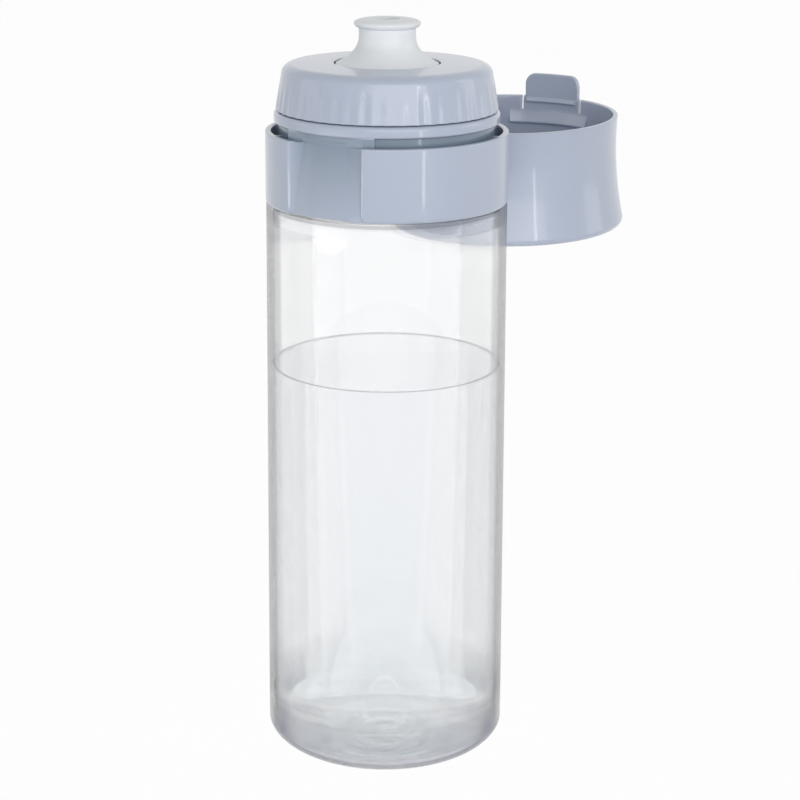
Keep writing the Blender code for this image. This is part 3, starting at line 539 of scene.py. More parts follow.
def moulded_skin_group() -> NodeTree:
    """Return the group for moulded plastic: faint flow clouds in colour and gloss over a fine grain."""
    name = "moulded_skin"
    if name in bpy.data.node_groups:
        return bpy.data.node_groups[name]
    nodes, given, result = new_group(
        name, {"Vector": "Vector", "Base": "Color", "Flow Tint": "Color", "Flow Scale": "Float",
               "Grain Scale": "Float", "Roughness": "Float", "Roughness Spread": "Float"},
        {"Color": "Color", "Roughness": "Float", "Height": "Float"})
    place = given.outputs["Vector"]
    flow = nodes.add("ShaderNodeTexNoise", {"Vector": place, "Scale": given.outputs["Flow Scale"],
                                            "Detail": 2.0, "Roughness": 0.45, "Distortion": 0.6})
    grain = nodes.add("ShaderNodeTexNoise", {"Vector": place, "Scale": given.outputs["Grain Scale"],
                                             "Detail": 3.0, "Roughness": 0.6})
    cloud = flow.outputs["Fac"]
    spread = nodes.maths("MULTIPLY", nodes.maths("SUBTRACT", cloud, 0.5), given.outputs["Roughness Spread"])
    nodes.feed(result, {"Color": nodes.mixed(cloud, given.outputs["Base"], given.outputs["Flow Tint"]),
                        "Roughness": nodes.maths("ADD", given.outputs["Roughness"], spread),
                        "Height": grain.outputs["Fac"]})
    return nodes.tree


def faint_scuffs_group() -> NodeTree:
    """Return the group for faint handling marks: a mask of fine streaks broken up by clouds."""
    name = "faint_scuffs"
    if name in bpy.data.node_groups:
        return bpy.data.node_groups[name]
    nodes, given, result = new_group(
        name, {"Vector": "Vector", "Streak Scale": "Float", "Cloud Scale": "Float"}, {"Mask": "Float"})
    place = given.outputs["Vector"]
    stretch = nodes.add("ShaderNodeVectorMath", {0: place, 1: (1.0, 1.0, 0.06)}, operation="MULTIPLY")
    streaks = nodes.add("ShaderNodeTexNoise", {"Vector": stretch.outputs[0], "Detail": 4.0,
                                               "Roughness": 0.7, "Scale": given.outputs["Streak Scale"]})
    clouds = nodes.add("ShaderNodeTexNoise", {"Vector": place, "Detail": 1.0,
                                              "Scale": given.outputs["Cloud Scale"]})
    picked = nodes.ranged(streaks.outputs["Fac"], (0.56, 0.72))
    nodes.feed(result, {"Mask": nodes.maths("MULTIPLY", picked, clouds.outputs["Fac"])})
    return nodes.tree


def painted_recess_shade_group() -> NodeTree:
    """Return the group for painted shade over a turned moulding's sunk parts: a mask that grows with their
    depth.
    """
    name = "sunk_parts"
    if name in bpy.data.node_groups:
        return bpy.data.node_groups[name]
    nodes, given, result = new_group(
        name, {"Vector": "Vector", "Radius": "Float", "Depth": "Float", "Top": "Float", "Fall": "Float"},
        {"Mask": "Float"})
    parts = nodes.parts(given.outputs["Vector"]).outputs
    squares = [nodes.maths("MULTIPLY", parts[axis], parts[axis]) for axis in ("X", "Y")]
    radius = nodes.maths("SQRT", nodes.maths("ADD", *squares))
    sunk = nodes.maths("SUBTRACT", given.outputs["Radius"], radius)
    share = nodes.add("ShaderNodeMath", {0: sunk, 1: given.outputs["Depth"]}, operation="DIVIDE",
                      use_clamp=True)
    below = nodes.maths("LESS_THAN", parts["Z"], given.outputs["Top"])
    drop = nodes.maths("SUBTRACT", given.outputs["Top"], parts["Z"])
    fade = nodes.maths("SUBTRACT", 1.0, nodes.maths("MULTIPLY", drop, given.outputs["Fall"]))
    rise = nodes.maths("MULTIPLY", nodes.maths("POWER", share.outputs[0], 0.5), fade)
    nodes.feed(result, {"Mask": nodes.maths("MULTIPLY", rise, below)})
    return nodes.tree


def start_material(name: str) -> tuple[Material, Nodes, Node, NodeSocket]:
    """Start a material.

    Args:
        name: The material's name.

    Returns:
        The material, its nodes, its Principled shader and the object coordinates.
    """
    material = bpy.data.materials.new(name)
    material.use_nodes = True
    nodes = Nodes(material.node_tree)
    shader = material.node_tree.nodes["Principled BSDF"]
    return material, nodes, shader, nodes.add("ShaderNodeTexCoord").outputs["Object"]


def add_bump(nodes: Nodes, shader: Node, height: NodeSocket, distance: float) -> None:
    """Feed a height, worth a distance, into a shader's normal through a Bump node."""
    bump = nodes.add("ShaderNodeBump", {"Height": height, "Distance": distance, "Strength": 1.0})
    nodes.feed(shader, {"Normal": bump.outputs["Normal"]})


def add_skin(nodes: Nodes, shader: Node, values: Inputs, grain_depth: float) -> NodeSocket:
    """Give a shader the roughness and the grain of a moulded skin.

    Args:
        nodes: The material's nodes.
        shader: The Principled shader.
        values: Inputs of the moulded skin group.
        grain_depth: Depth of the grain.

    Returns:
        The skin's colour.
    """
    skin = nodes.add("ShaderNodeGroup", node_tree=moulded_skin_group())
    nodes.feed(skin, values)
    nodes.feed(shader, {"Roughness": skin.outputs["Roughness"]})
    add_bump(nodes, shader, skin.outputs["Height"], grain_depth)
    return skin.outputs["Color"]


def add_scuffs(nodes: Nodes, place: NodeSocket, streaks: float, clouds: float) -> NodeSocket:
    """Return the mask of faint scuffs with streaks and clouds of given scales."""
    scuffs = nodes.add("ShaderNodeGroup", node_tree=faint_scuffs_group())
    nodes.feed(scuffs, {"Vector": place, "Streak Scale": streaks, "Cloud Scale": clouds})
    return scuffs.outputs["Mask"]


def let_light_through(nodes: Nodes, shader: Node, tint: NodeSocket, straight: NodeSocket) -> None:
    """Let shadow rays and a share of all others pass a clear shader unbent, so that light comes through.

    Args:
        nodes: The material's nodes.
        shader: The Principled shader.
        tint: Colour of the light that passes.
        straight: Share of the other rays that pass unbent.
    """
    shadow = nodes.add("ShaderNodeLightPath").outputs["Is Shadow Ray"]
    clear = nodes.add("ShaderNodeBsdfTransparent", {"Color": tint})
    nodes.end_with_mix(nodes.maths("MAXIMUM", shadow, straight), shader, clear)


@dataclass(frozen=True)
class PaintedRecessShade:
    """Painted shade on the parts that lie deep in a turned moulding: a darker colour, strongest at their
    top.
    """

    colour: Colour
    radius: float
    top: float
    depth: float = 0.0036
    fall: float = 26.0

    def over(self, nodes: Nodes, place: NodeSocket, colour: NodeSocket) -> NodeSocket:
        """Return a colour with painted shade on the sunk parts."""
        sunk = nodes.add("ShaderNodeGroup", node_tree=painted_recess_shade_group())
        nodes.feed(sunk, {"Vector": place, "Radius": self.radius, "Depth": self.depth, "Top": self.top,
                          "Fall": self.fall})
        return nodes.mixed(sunk.outputs["Mask"], colour, self.colour)


@dataclass(frozen=True)
class MouldedPlastic:
    """Opaque moulded plastic."""

    name: str
    base: Colour
    flow_tint: Colour
    roughness: float
    coat: float = 0.0
    coat_roughness: float = 0.05
    ior: float = 1.49
    roughness_spread: float = 0.06
    flow_scale: float = 45.0
    grain_scale: float = 2600.0
    grain_depth: float = 0.000006
    # Painted shade on the sunk parts, if any.
    sunk: Optional[PaintedRecessShade] = None

    def build(self) -> Material:
        """Build the material and return it."""
        material, nodes, shader, place = start_material(self.name)
        colour = add_skin(nodes, shader, {
            "Vector": place, "Base": self.base, "Flow Tint": self.flow_tint, "Flow Scale": self.flow_scale,
            "Grain Scale": self.grain_scale, "Roughness": self.roughness,
            "Roughness Spread": self.roughness_spread}, self.grain_depth)
        # Paint shade into the sunk parts.
        if self.sunk:
            colour = self.sunk.over(nodes, place, colour)
        nodes.feed(shader, {"Base Color": colour, "IOR": self.ior, "Coat Weight": self.coat,
                            "Coat Roughness": self.coat_roughness})
        return material


@dataclass(frozen=True)
class ClearPlastic:
    """Clear glossy wall with painted grey where it is seen edge on, standing in for the dark reflections
    along a thick path through it.
    """

    name: str = "clear_wall"
    face: Colour = WHITE
    # Painted grey where the camera sees the wall edge on.
    edge: Colour = (0.22, 0.22, 0.225, 1.0)
    passing: Colour = (0.99, 0.992, 0.995, 1.0)
    # Painted grey in the edge-on light that passes unbent.
    painted_passing_edge: Colour = (0.66, 0.66, 0.665, 1.0)
    ior: float = 1.55
    roughness: float = 0.004
    scuff_roughness: float = 0.03
    edge_span: Point = (0.60, 0.72)
    straight: float = 0.72
    base_straight: float = 0.12
    base_span: Point = (0.011, 0.024)
    # Painted dark violet inside the base corner, standing in for reflections in the thick base.
    painted_base_shade: Colour = (0.20, 0.21, 0.29, 1.0)
    corner_facing: Point = (0.38, 0.60)
    corner_heights: Point = (0.003, 0.006)
    shoulder_height: float = 0.0
    shoulder_half: float = 0.004
    shoulder_straight: float = 0.92

    def build(self) -> Material:
        """Build the material and return it."""
        material, nodes, shader, place = start_material(self.name)
        facing = nodes.add("ShaderNodeLayerWeight", {"Blend": 0.5}).outputs["Facing"]
        height = nodes.parts(place).outputs["Z"]
        # Masks of the painted shade: low on the body, edge on, and inside the base corner.
        low = nodes.ranged(height, self.base_span[::-1], smooth=True)
        edge = nodes.ranged(facing, self.edge_span, smooth=True)
        corner = nodes.maths("MULTIPLY", nodes.ranged(facing, self.corner_facing, smooth=True),
                             nodes.ranged(height, self.corner_heights))
        inside = nodes.maths("MULTIPLY", nodes.maths("MAXIMUM", edge, corner), low)
        side = nodes.maths("MULTIPLY", edge, nodes.camera_ray())
        tint = nodes.mixed(inside, self.face, self.painted_base_shade)
        rough = nodes.maths("MULTIPLY", add_scuffs(nodes, place, 420.0, 30.0), self.scuff_roughness)
        nodes.feed(shader, {"Base Color": nodes.mixed(side, tint, self.edge), "IOR": self.ior,
                            "Roughness": nodes.maths("ADD", rough, self.roughness),
                            "Transmission Weight": 1.0})
        shoulder = nodes.add("ShaderNodeMath", {0: height, 1: self.shoulder_height, 2: self.shoulder_half},
                             operation="COMPARE")
        thin = nodes.maths("MULTIPLY", shoulder.outputs[0], self.shoulder_straight)
        sunk = nodes.maths("MULTIPLY", low, self.straight - self.base_straight)
        straight = nodes.maths("MAXIMUM", thin, nodes.maths("SUBTRACT", self.straight, sunk))
        let_light_through(nodes, shader, nodes.mixed(side, self.passing, self.painted_passing_edge), straight)
        return material


@dataclass(frozen=True)
class Water:
    """Clean water whose surface climbs a little at the wall, with a thin painted dark line there and
    painted grey face on.
    """

    rim_height: float
    name: str = "water"
    colour: Colour = (0.985, 0.99, 1.0, 1.0)
    # Painted dark line where the water meets the wall, seen by the camera only.
    rim: Colour = (0.16, 0.165, 0.20, 1.0)
    rim_climb: Point = (0.00025, 0.0005)
    ior: float = 1.333
    passing: Colour = (0.985, 0.99, 0.995, 1.0)
    # Painted dark line in the light that passes unbent.
    painted_passing_rim: Colour = (0.40, 0.41, 0.46, 1.0)
    straight: float = 0.66
    base_straight: float = 0.08
    base_span: Point = (0.011, 0.024)
    # Painted grey-violet tone where the water faces the camera, darker lower down.
    painted_front_high: Colour = (0.78, 0.80, 0.845, 1.0)
    painted_front_low: Colour = (0.67, 0.73, 0.755, 1.0)
    front_heights: Point = (0.02, 0.10)
    front_share: Point = (0.08, 0.15)

    def build(self) -> Material:
        """Build the material and return it."""
        material, nodes, shader, place = start_material(self.name)
        ripple = nodes.add("ShaderNodeTexNoise", {"Vector": place, "Scale": 90.0, "Detail": 1.0})
        facing = nodes.add("ShaderNodeLayerWeight", {"Blend": 0.5}).outputs["Facing"]
        height = nodes.parts(place).outputs["Z"]
        # Painted grey tone face on, darker lower down.
        front = nodes.mixed(nodes.ranged(height, self.front_heights), self.painted_front_low, self.painted_front_high)
        clear = nodes.mixed(ripple.outputs["Fac"], self.colour, WHITE)
        tint = nodes.mixed(nodes.ranged(facing, self.front_share, smooth=True), front, clear)
        # Painted dark line at the meniscus, for camera rays only.
        start, end = self.rim_climb
        climb = nodes.ranged(height, (self.rim_height + start, self.rim_height + end))
        line = nodes.maths("MULTIPLY", climb, nodes.camera_ray())
        nodes.feed(shader, {"Base Color": nodes.mixed(line, tint, self.rim), "Roughness": 0.0,
                            "IOR": self.ior, "Transmission Weight": 1.0})
        straight = nodes.ranged(height, self.base_span, (self.base_straight, self.straight))
        let_light_through(nodes, shader, nodes.mixed(line, self.passing, self.painted_passing_rim), straight)
        return material


@dataclass(frozen=True)
class Silicone:
    """Soft translucent white rubber with a dusty sheen."""

    name: str = "silicone"
    colour: Colour = (0.72, 0.74, 0.75, 1.0)
    flow_tint: Colour = (0.66, 0.69, 0.71, 1.0)
    scatter: Point3 = (0.001, 0.001, 0.001)
    grain_depth: float = 0.00001

    def build(self) -> Material:
        """Build the material and return it."""
        material, nodes, shader, place = start_material(self.name)
        colour = add_skin(nodes, shader, {
            "Vector": place, "Base": self.colour, "Flow Tint": self.flow_tint, "Flow Scale": 160.0,
            "Grain Scale": 3000.0, "Roughness": 0.55, "Roughness Spread": 0.1}, self.grain_depth)
        nodes.feed(shader, {"Base Color": colour, "Subsurface Weight": 0.15,
                            "Subsurface Radius": self.scatter, "Sheen Weight": 0.2})
        return material


@dataclass(frozen=True)
class PinSteel:
    """Drawn stainless wire."""

    name: str = "pin_steel"
    bright: Colour = (0.58, 0.58, 0.60, 1.0)
    dull: Colour = (0.38, 0.38, 0.40, 1.0)
    roughness: float = 0.22
    scuff_roughness: float = 0.25

    def build(self) -> Material:
        """Build the material and return it."""
        material, nodes, shader, place = start_material(self.name)
        mask = add_scuffs(nodes, place, 2500.0, 200.0)
        rough = nodes.maths("ADD", nodes.maths("MULTIPLY", mask, self.scuff_roughness), self.roughness)
        nodes.feed(shader, {"Base Color": nodes.mixed(mask, self.bright, self.dull), "Roughness": rough,
                            "Metallic": 1.0})
        return material


@dataclass(frozen=True)
class BoundCarbon:
    """Black carbon granules bound into a block."""

    name: str = "bound_carbon"
    colours: tuple[Colour, Colour] = ((0.012, 0.012, 0.014, 1.0), (0.075, 0.075, 0.08, 1.0))
    grain_scale: float = 1300.0
    grain_depth: float = 0.0003

    def build(self) -> Material:
        """Build the material and return it."""
        material, nodes, shader, place = start_material(self.name)
        grains = nodes.add("ShaderNodeTexVoronoi", {"Vector": place, "Scale": self.grain_scale})
        nodes.feed(shader, {"Base Color": nodes.shaded(grains.outputs["Color"], self.colours),
                            "Roughness": 0.7})
        add_bump(nodes, shader, grains.outputs["Distance"], self.grain_depth)
        return material


@dataclass(frozen=True)
class Fleece:
    """Thin white non-woven of random fibres."""

    name: str = "fleece"
    colours: tuple[Colour, Colour] = ((0.62, 0.62, 0.60, 1.0), (0.86, 0.86, 0.84, 1.0))
    colour_places: Point = (0.35, 0.6)
    fibre_depth: float = 0.00015

    def build(self) -> Material:
        """Build the material and return it."""
        material, nodes, shader, place = start_material(self.name)
        fibres = nodes.add("ShaderNodeTexNoise", {"Vector": place, "Scale": 700.0, "Detail": 6.0,
                                                  "Distortion": 3.0}).outputs["Fac"]
        nodes.feed(shader, {"Base Color": nodes.shaded(fibres, self.colours, self.colour_places),
                            "Roughness": 0.95, "Sheen Weight": 0.3})
        add_bump(nodes, shader, fibres, self.fibre_depth)
        return material


@dataclass(frozen=True)
class PaleFloor:
    """Matt pale floor that shows near white and keeps a soft shadow."""

    name: str = "pale_floor"
    colour: Colour = (0.86, 0.86, 0.87, 1.0)
    cloud: Colour = (0.88, 0.88, 0.88, 1.0)
    background_share: float = 0.965

    def build(self) -> Material:
        """Build the material and return it."""
        material, nodes, shader, place = start_material(self.name)
        clouds = nodes.add("ShaderNodeTexNoise", {"Vector": place, "Scale": 3.0, "Detail": 2.0})
        nodes.feed(shader, {"Base Color": nodes.mixed(clouds.outputs["Fac"], self.colour, self.cloud),
                            "Roughness": 0.9, "Specular IOR Level": 0.1})
        glow = nodes.add("ShaderNodeEmission", {"Color": WHITE, "Strength": 1.0})
        seen = nodes.maths("MULTIPLY", nodes.background_rays(), self.background_share)
        nodes.end_with_mix(seen, shader, glow)
        return material


class FinishShop:
    """Builds each finish once and puts it on pieces."""

    def __init__(self, sizes: "BottleSizes") -> None:
        """Build every finish of the bottle.

        Args:
            sizes: The shared sizes that some finishes follow.
        """
        tinted = MouldedPlastic("tinted_plastic", (0.445, 0.497, 0.610, 1.0), (0.430, 0.484, 0.600, 1.0),
                                0.30, coat=0.6)
        # Painted shade in the collar's latch recess and channel, darkest at their top under the flange.
        sunk = PaintedRecessShade((0.21, 0.27, 0.35, 1.0), sizes.collar_radius - 0.0003, sizes.flange_bottom - HAIR)
        white = MouldedPlastic("white_plastic", (0.85, 0.88, 0.90, 1.0), (0.83, 0.865, 0.885, 1.0), 0.36)
        self.collar = replace(tinted, name="tinted_collar_painted_shade", sunk=sunk).build()
        self.materials: dict[Finish, Material] = {
            Finish.CLEAR: ClearPlastic(shoulder_height=sizes.collar_bottom - 0.0012).build(),
            Finish.TINTED: tinted.build(),
            Finish.WHITE: white.build(),
            Finish.STEEL: PinSteel().build(),
            Finish.SILICONE: Silicone().build(),
            Finish.CARBON: BoundCarbon().build(),
            Finish.FLEECE: Fleece().build(),
        }

    def dress(self, piece: Object, finish: Finish) -> None:
        """Put a finish on a piece."""
        piece.data.materials.clear()
        piece.data.materials.append(self.materials[finish])

    def dress_node(self, node: Object, finish: Finish) -> None:
        """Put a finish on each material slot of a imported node."""
        if not node.material_slots:
            node.data.materials.append(self.materials[finish])
        for slot in node.material_slots:
            slot.material = self.materials[finish]


def hand_over(piece: Object, part: Part, *nodes: str) -> None:
    """Let a piece ride on a body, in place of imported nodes.

    Args:
        piece: The finished piece.
        part: The body that it rides on.
        nodes: The nodes that it stands for.
    """
    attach(piece, part.value)
    if nodes:
        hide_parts(*nodes)
    LOG.info("%s rides on %s, %d faces", piece.name, part.value, len(piece.data.polygons))


# Shared sizes


@dataclass(frozen=True)
class Walls:
    """Walls, clearances and steps that the shared sizes are worked out from."""

    gap: float = 0.0003
    band: float = 0.0018
    channel: float = 0.0022
    ring: float = 0.0012
    skirt: float = 0.0014
    thread_room: float = 0.0005
    neck: float = 0.0019
    lid: float = 0.0018
    band_height: float = 0.02148
    flange_rise: float = 0.00246
    flange_reach: float = 0.0014


@dataclass(frozen=True)
class BottleSizes:
    """Sizes that more than one piece follows."""

    gap: float
    band_wall: float
    collar_radius: float
    collar_bottom: float
    band_top: float
    flange_bottom: float
    flange_top: float
    flange_radius: float
    ring_outer: float
    ring_inner: float
    skirt_outer: float
    skirt_inner: float
    neck_outer: float
    neck_inner: float
    neck_rim: float
    lid_bottom: float
    lid_ceiling: float
    lid_top: float
    hinge: Vector
    opening_angle: float

    @classmethod
    def from_frame(cls, walls: Walls = Walls(), opening_angle: float = 178.5) -> "BottleSizes":
        """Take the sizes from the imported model.

        Args:
            walls: Walls, clearances and steps.
            opening_angle: Angle in degrees through which the cap is swung open.

        Returns:
            The shared sizes.
        """
        collar_low, collar_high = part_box("neck_collar")
        pin_low, pin_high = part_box("hinge_pin")
        collar_radius = round(collar_high.x, 5)
        ring_outer = collar_radius - walls.band - walls.channel
        ring_inner = ring_outer - walls.ring
        skirt_outer = ring_inner - walls.gap
        skirt_inner = skirt_outer - walls.skirt
        neck_outer = skirt_inner - walls.thread_room
        band_top = collar_low.z + walls.band_height
        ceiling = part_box("lid_gasket")[1].z + walls.gap
        return cls(gap=walls.gap, band_wall=walls.band, collar_radius=collar_radius,
                   collar_bottom=collar_low.z, band_top=band_top,
                   flange_bottom=band_top + walls.flange_rise, flange_top=collar_high.z,
                   flange_radius=ring_outer + walls.flange_reach, ring_outer=ring_outer,
                   ring_inner=ring_inner, skirt_outer=skirt_outer, skirt_inner=skirt_inner,
                   neck_outer=neck_outer, neck_inner=neck_outer - walls.neck,
                   neck_rim=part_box("bottle_body")[1].z, lid_bottom=collar_high.z + walls.gap,
                   lid_ceiling=ceiling, lid_top=ceiling + walls.lid, hinge=(pin_low + pin_high) / 2,
                   opening_angle=opening_angle)


# Pieces


@dataclass
class ClearVessel:
    """The clear body with its neck, thread and dished base, and the water in it."""

    sizes: BottleSizes
    shop: FinishShop
    base_radius: float = 0.03685
    top_radius: float = 0.03615
    wall: float = 0.0019
    floor: float = 0.0026
    corner: Point = (0.0172, 0.0087)
    pad_radius: float = 0.0080
    groove_width: float = 0.0065
    groove_depth: float = 0.0008
    groove_slope: float = 0.0016
    groove_rounding: float = 0.0008
    shoulder_rounding: float = 0.0003
    gate_radius: float = 0.0034
    gate_height: float = 0.0006
    inner_rounding: float = 0.0012
    ledge: float = 0.003
    bead_reach: float = 0.0013
    bead_height: float = 0.0012
    bead_drop: float = 0.0014
    thread_reach: float = 0.00028
    thread_root: float = 0.0002
    thread_halves: Point = (0.0011, 0.0004)
    thread_pitch: float = 0.0030
    thread_turns: float = 1.6
    thread_drop: float = 0.0085
    water_level: float = 0.1238
    meniscus: float = 0.0007
    meniscus_width: float = 0.0016
    meniscus_fall: float = 2.718
    wall_taper: float = 0.6
    ripple: float = 0.00008
    ripple_start: float = 0.004
    water_rings: int = 36
    overlap: float = 0.0001
    facets: int = 192
    thread_facets: int = 96

    def inner_outline(self, inset: float = 0.0) -> Outline:
        """Return the inside of the vessel from its shoulder down to its axis.

        Args:
            inset: How far inside the wall the outline runs.
        """
        top_z = self.body_top - self.wall
        corner_r = self.base_radius - self.corner[0]
        width = self.corner[0] - self.wall - inset
        height = self.corner[1] - self.floor - inset
        top_inner = self.top_radius - self.wall - inset
        edge = self.inner_rounding
        outline = arc((top_inner - edge, top_z - edge), (edge, edge), 90.0, 0.0, 6)
        outline += arc((corner_r, self.corner[1]), (width, height), 0.0, -90.0, 20)
        floor = self.floor + inset
        outline += [(self.gate_radius + 0.0006, floor), (self.gate_radius, floor + 0.0001)]
        outline += arc((0.0, floor), (self.gate_radius * 0.9, self.gate_height), 20.0, 90.0, 6)
        outline[-1] = (0.0, floor + self.gate_height)
        return outline

    @property
    def body_top(self) -> float:
        """Height of the shoulder under the collar."""
        return self.sizes.collar_bottom - self.sizes.gap

    def build(self) -> None:
        """Build the vessel and the water."""
        body = self.build_body()
        self.shop.dress(body, Finish.CLEAR)
        hand_over(body, Part.BOTTLE, "bottle_body")
        water = self.build_water()
        water.data.materials.append(Water(rim_height=self.water_level).build())
        hand_over(water, Part.BOTTLE)

    def build_body(self) -> Object:
        """Return the vessel."""
        s = self.sizes
        groove_end = self.pad_radius + self.groove_width
        slope, soft = self.groove_slope, self.groove_rounding
        outline = filleted([(0.0, 0.0, 0.0), (self.pad_radius, 0.0, soft),
                            (self.pad_radius + slope, self.groove_depth, soft),
                            (groove_end - slope, self.groove_depth, soft), (groove_end, 0.0, soft),
                            (self.base_radius - self.corner[0] - OVERRUN, 0.0, 0.0)])[:-1]
        outline[0] = (0.0, 0.0)
        corner_centre = (self.base_radius - self.corner[0], self.corner[1])
        outline += arc(corner_centre, self.corner, -90.0, 0.0, 24)
        edge = self.shoulder_rounding
        outline += arc((self.top_radius - edge, self.body_top - edge), (edge, edge), 0.0, 90.0, 4)
        bead = s.collar_bottom + self.bead_drop + s.gap
        inside = self.body_top - self.wall
        outline += filleted([
            (s.neck_outer + self.ledge, self.body_top, 0.0), (s.neck_outer, self.body_top, 0.0008),
            (s.neck_outer, bead, 0.0002), (s.neck_outer + self.bead_reach, bead, 0.0003),
            (s.neck_outer, bead + self.bead_height, 0.0004), (s.neck_outer, s.neck_rim, 0.0005),
            (s.neck_inner, s.neck_rim, 0.0005), (s.neck_inner, inside, 0.001),
            (s.neck_inner + self.ledge, inside, 0.0)])
        outline += self.inner_outline()
        body = to_object("bottle_shell", lathe(outline, self.facets))
        foot, crest = self.thread_halves
        section = [(-self.thread_root, -foot), (self.thread_reach, -crest), (self.thread_reach, crest),
                   (-self.thread_root, foot)]
        ridge = helix_ridge(section, s.neck_outer, self.thread_pitch, self.thread_turns,
                            s.neck_rim - self.thread_drop, self.thread_facets)
        combine(body, ridge, Operation.JOIN)
        settle_shading(body)
        return body

    def build_water(self) -> Object:
        """Return the water: it follows the inside, with a meniscus at the wall and faint ripples."""
        inner = [point for point in self.inner_outline(-self.overlap) if point[1] < self.water_level]
        wall_r = inner[0][0] - (self.base_radius - self.top_radius) * self.wall_taper
        top = []
        for step in range(self.water_rings + 1):
            radius = wall_r * (step / self.water_rings)
            climb = self.meniscus * pow(self.meniscus_fall, -(wall_r - radius) / self.meniscus_width)
            top.append((radius, self.water_level + climb))
        mesh = lathe(top + inner, self.facets)
        for vertex in mesh.verts:
            radius = vertex.co.xy.length
            if vertex.co.z > self.water_level - HAIR and radius < wall_r - HAIR:
                calm = min(1.0, (wall_r - radius) / self.ripple_start)
                vertex.co.z += self.ripple * calm * self.ripple_at(vertex.co.x, vertex.co.y)
        water = to_object("water", mesh, WATER_SHARP)
        settle_shading(water, WATER_SHARP)
        return water

    @staticmethod
    def ripple_at(x: float, y: float) -> float:
        """Return the height share of the crossing ripples at a place on the water."""
        waves = ((310.0, 110.0, 0.4), (-180.0, 290.0, 1.9), (420.0, -260.0, 3.1), (90.0, 520.0, 0.9))
        return sum(sin(a * x + b * y + phase) for a, b, phase in waves) / len(waves)


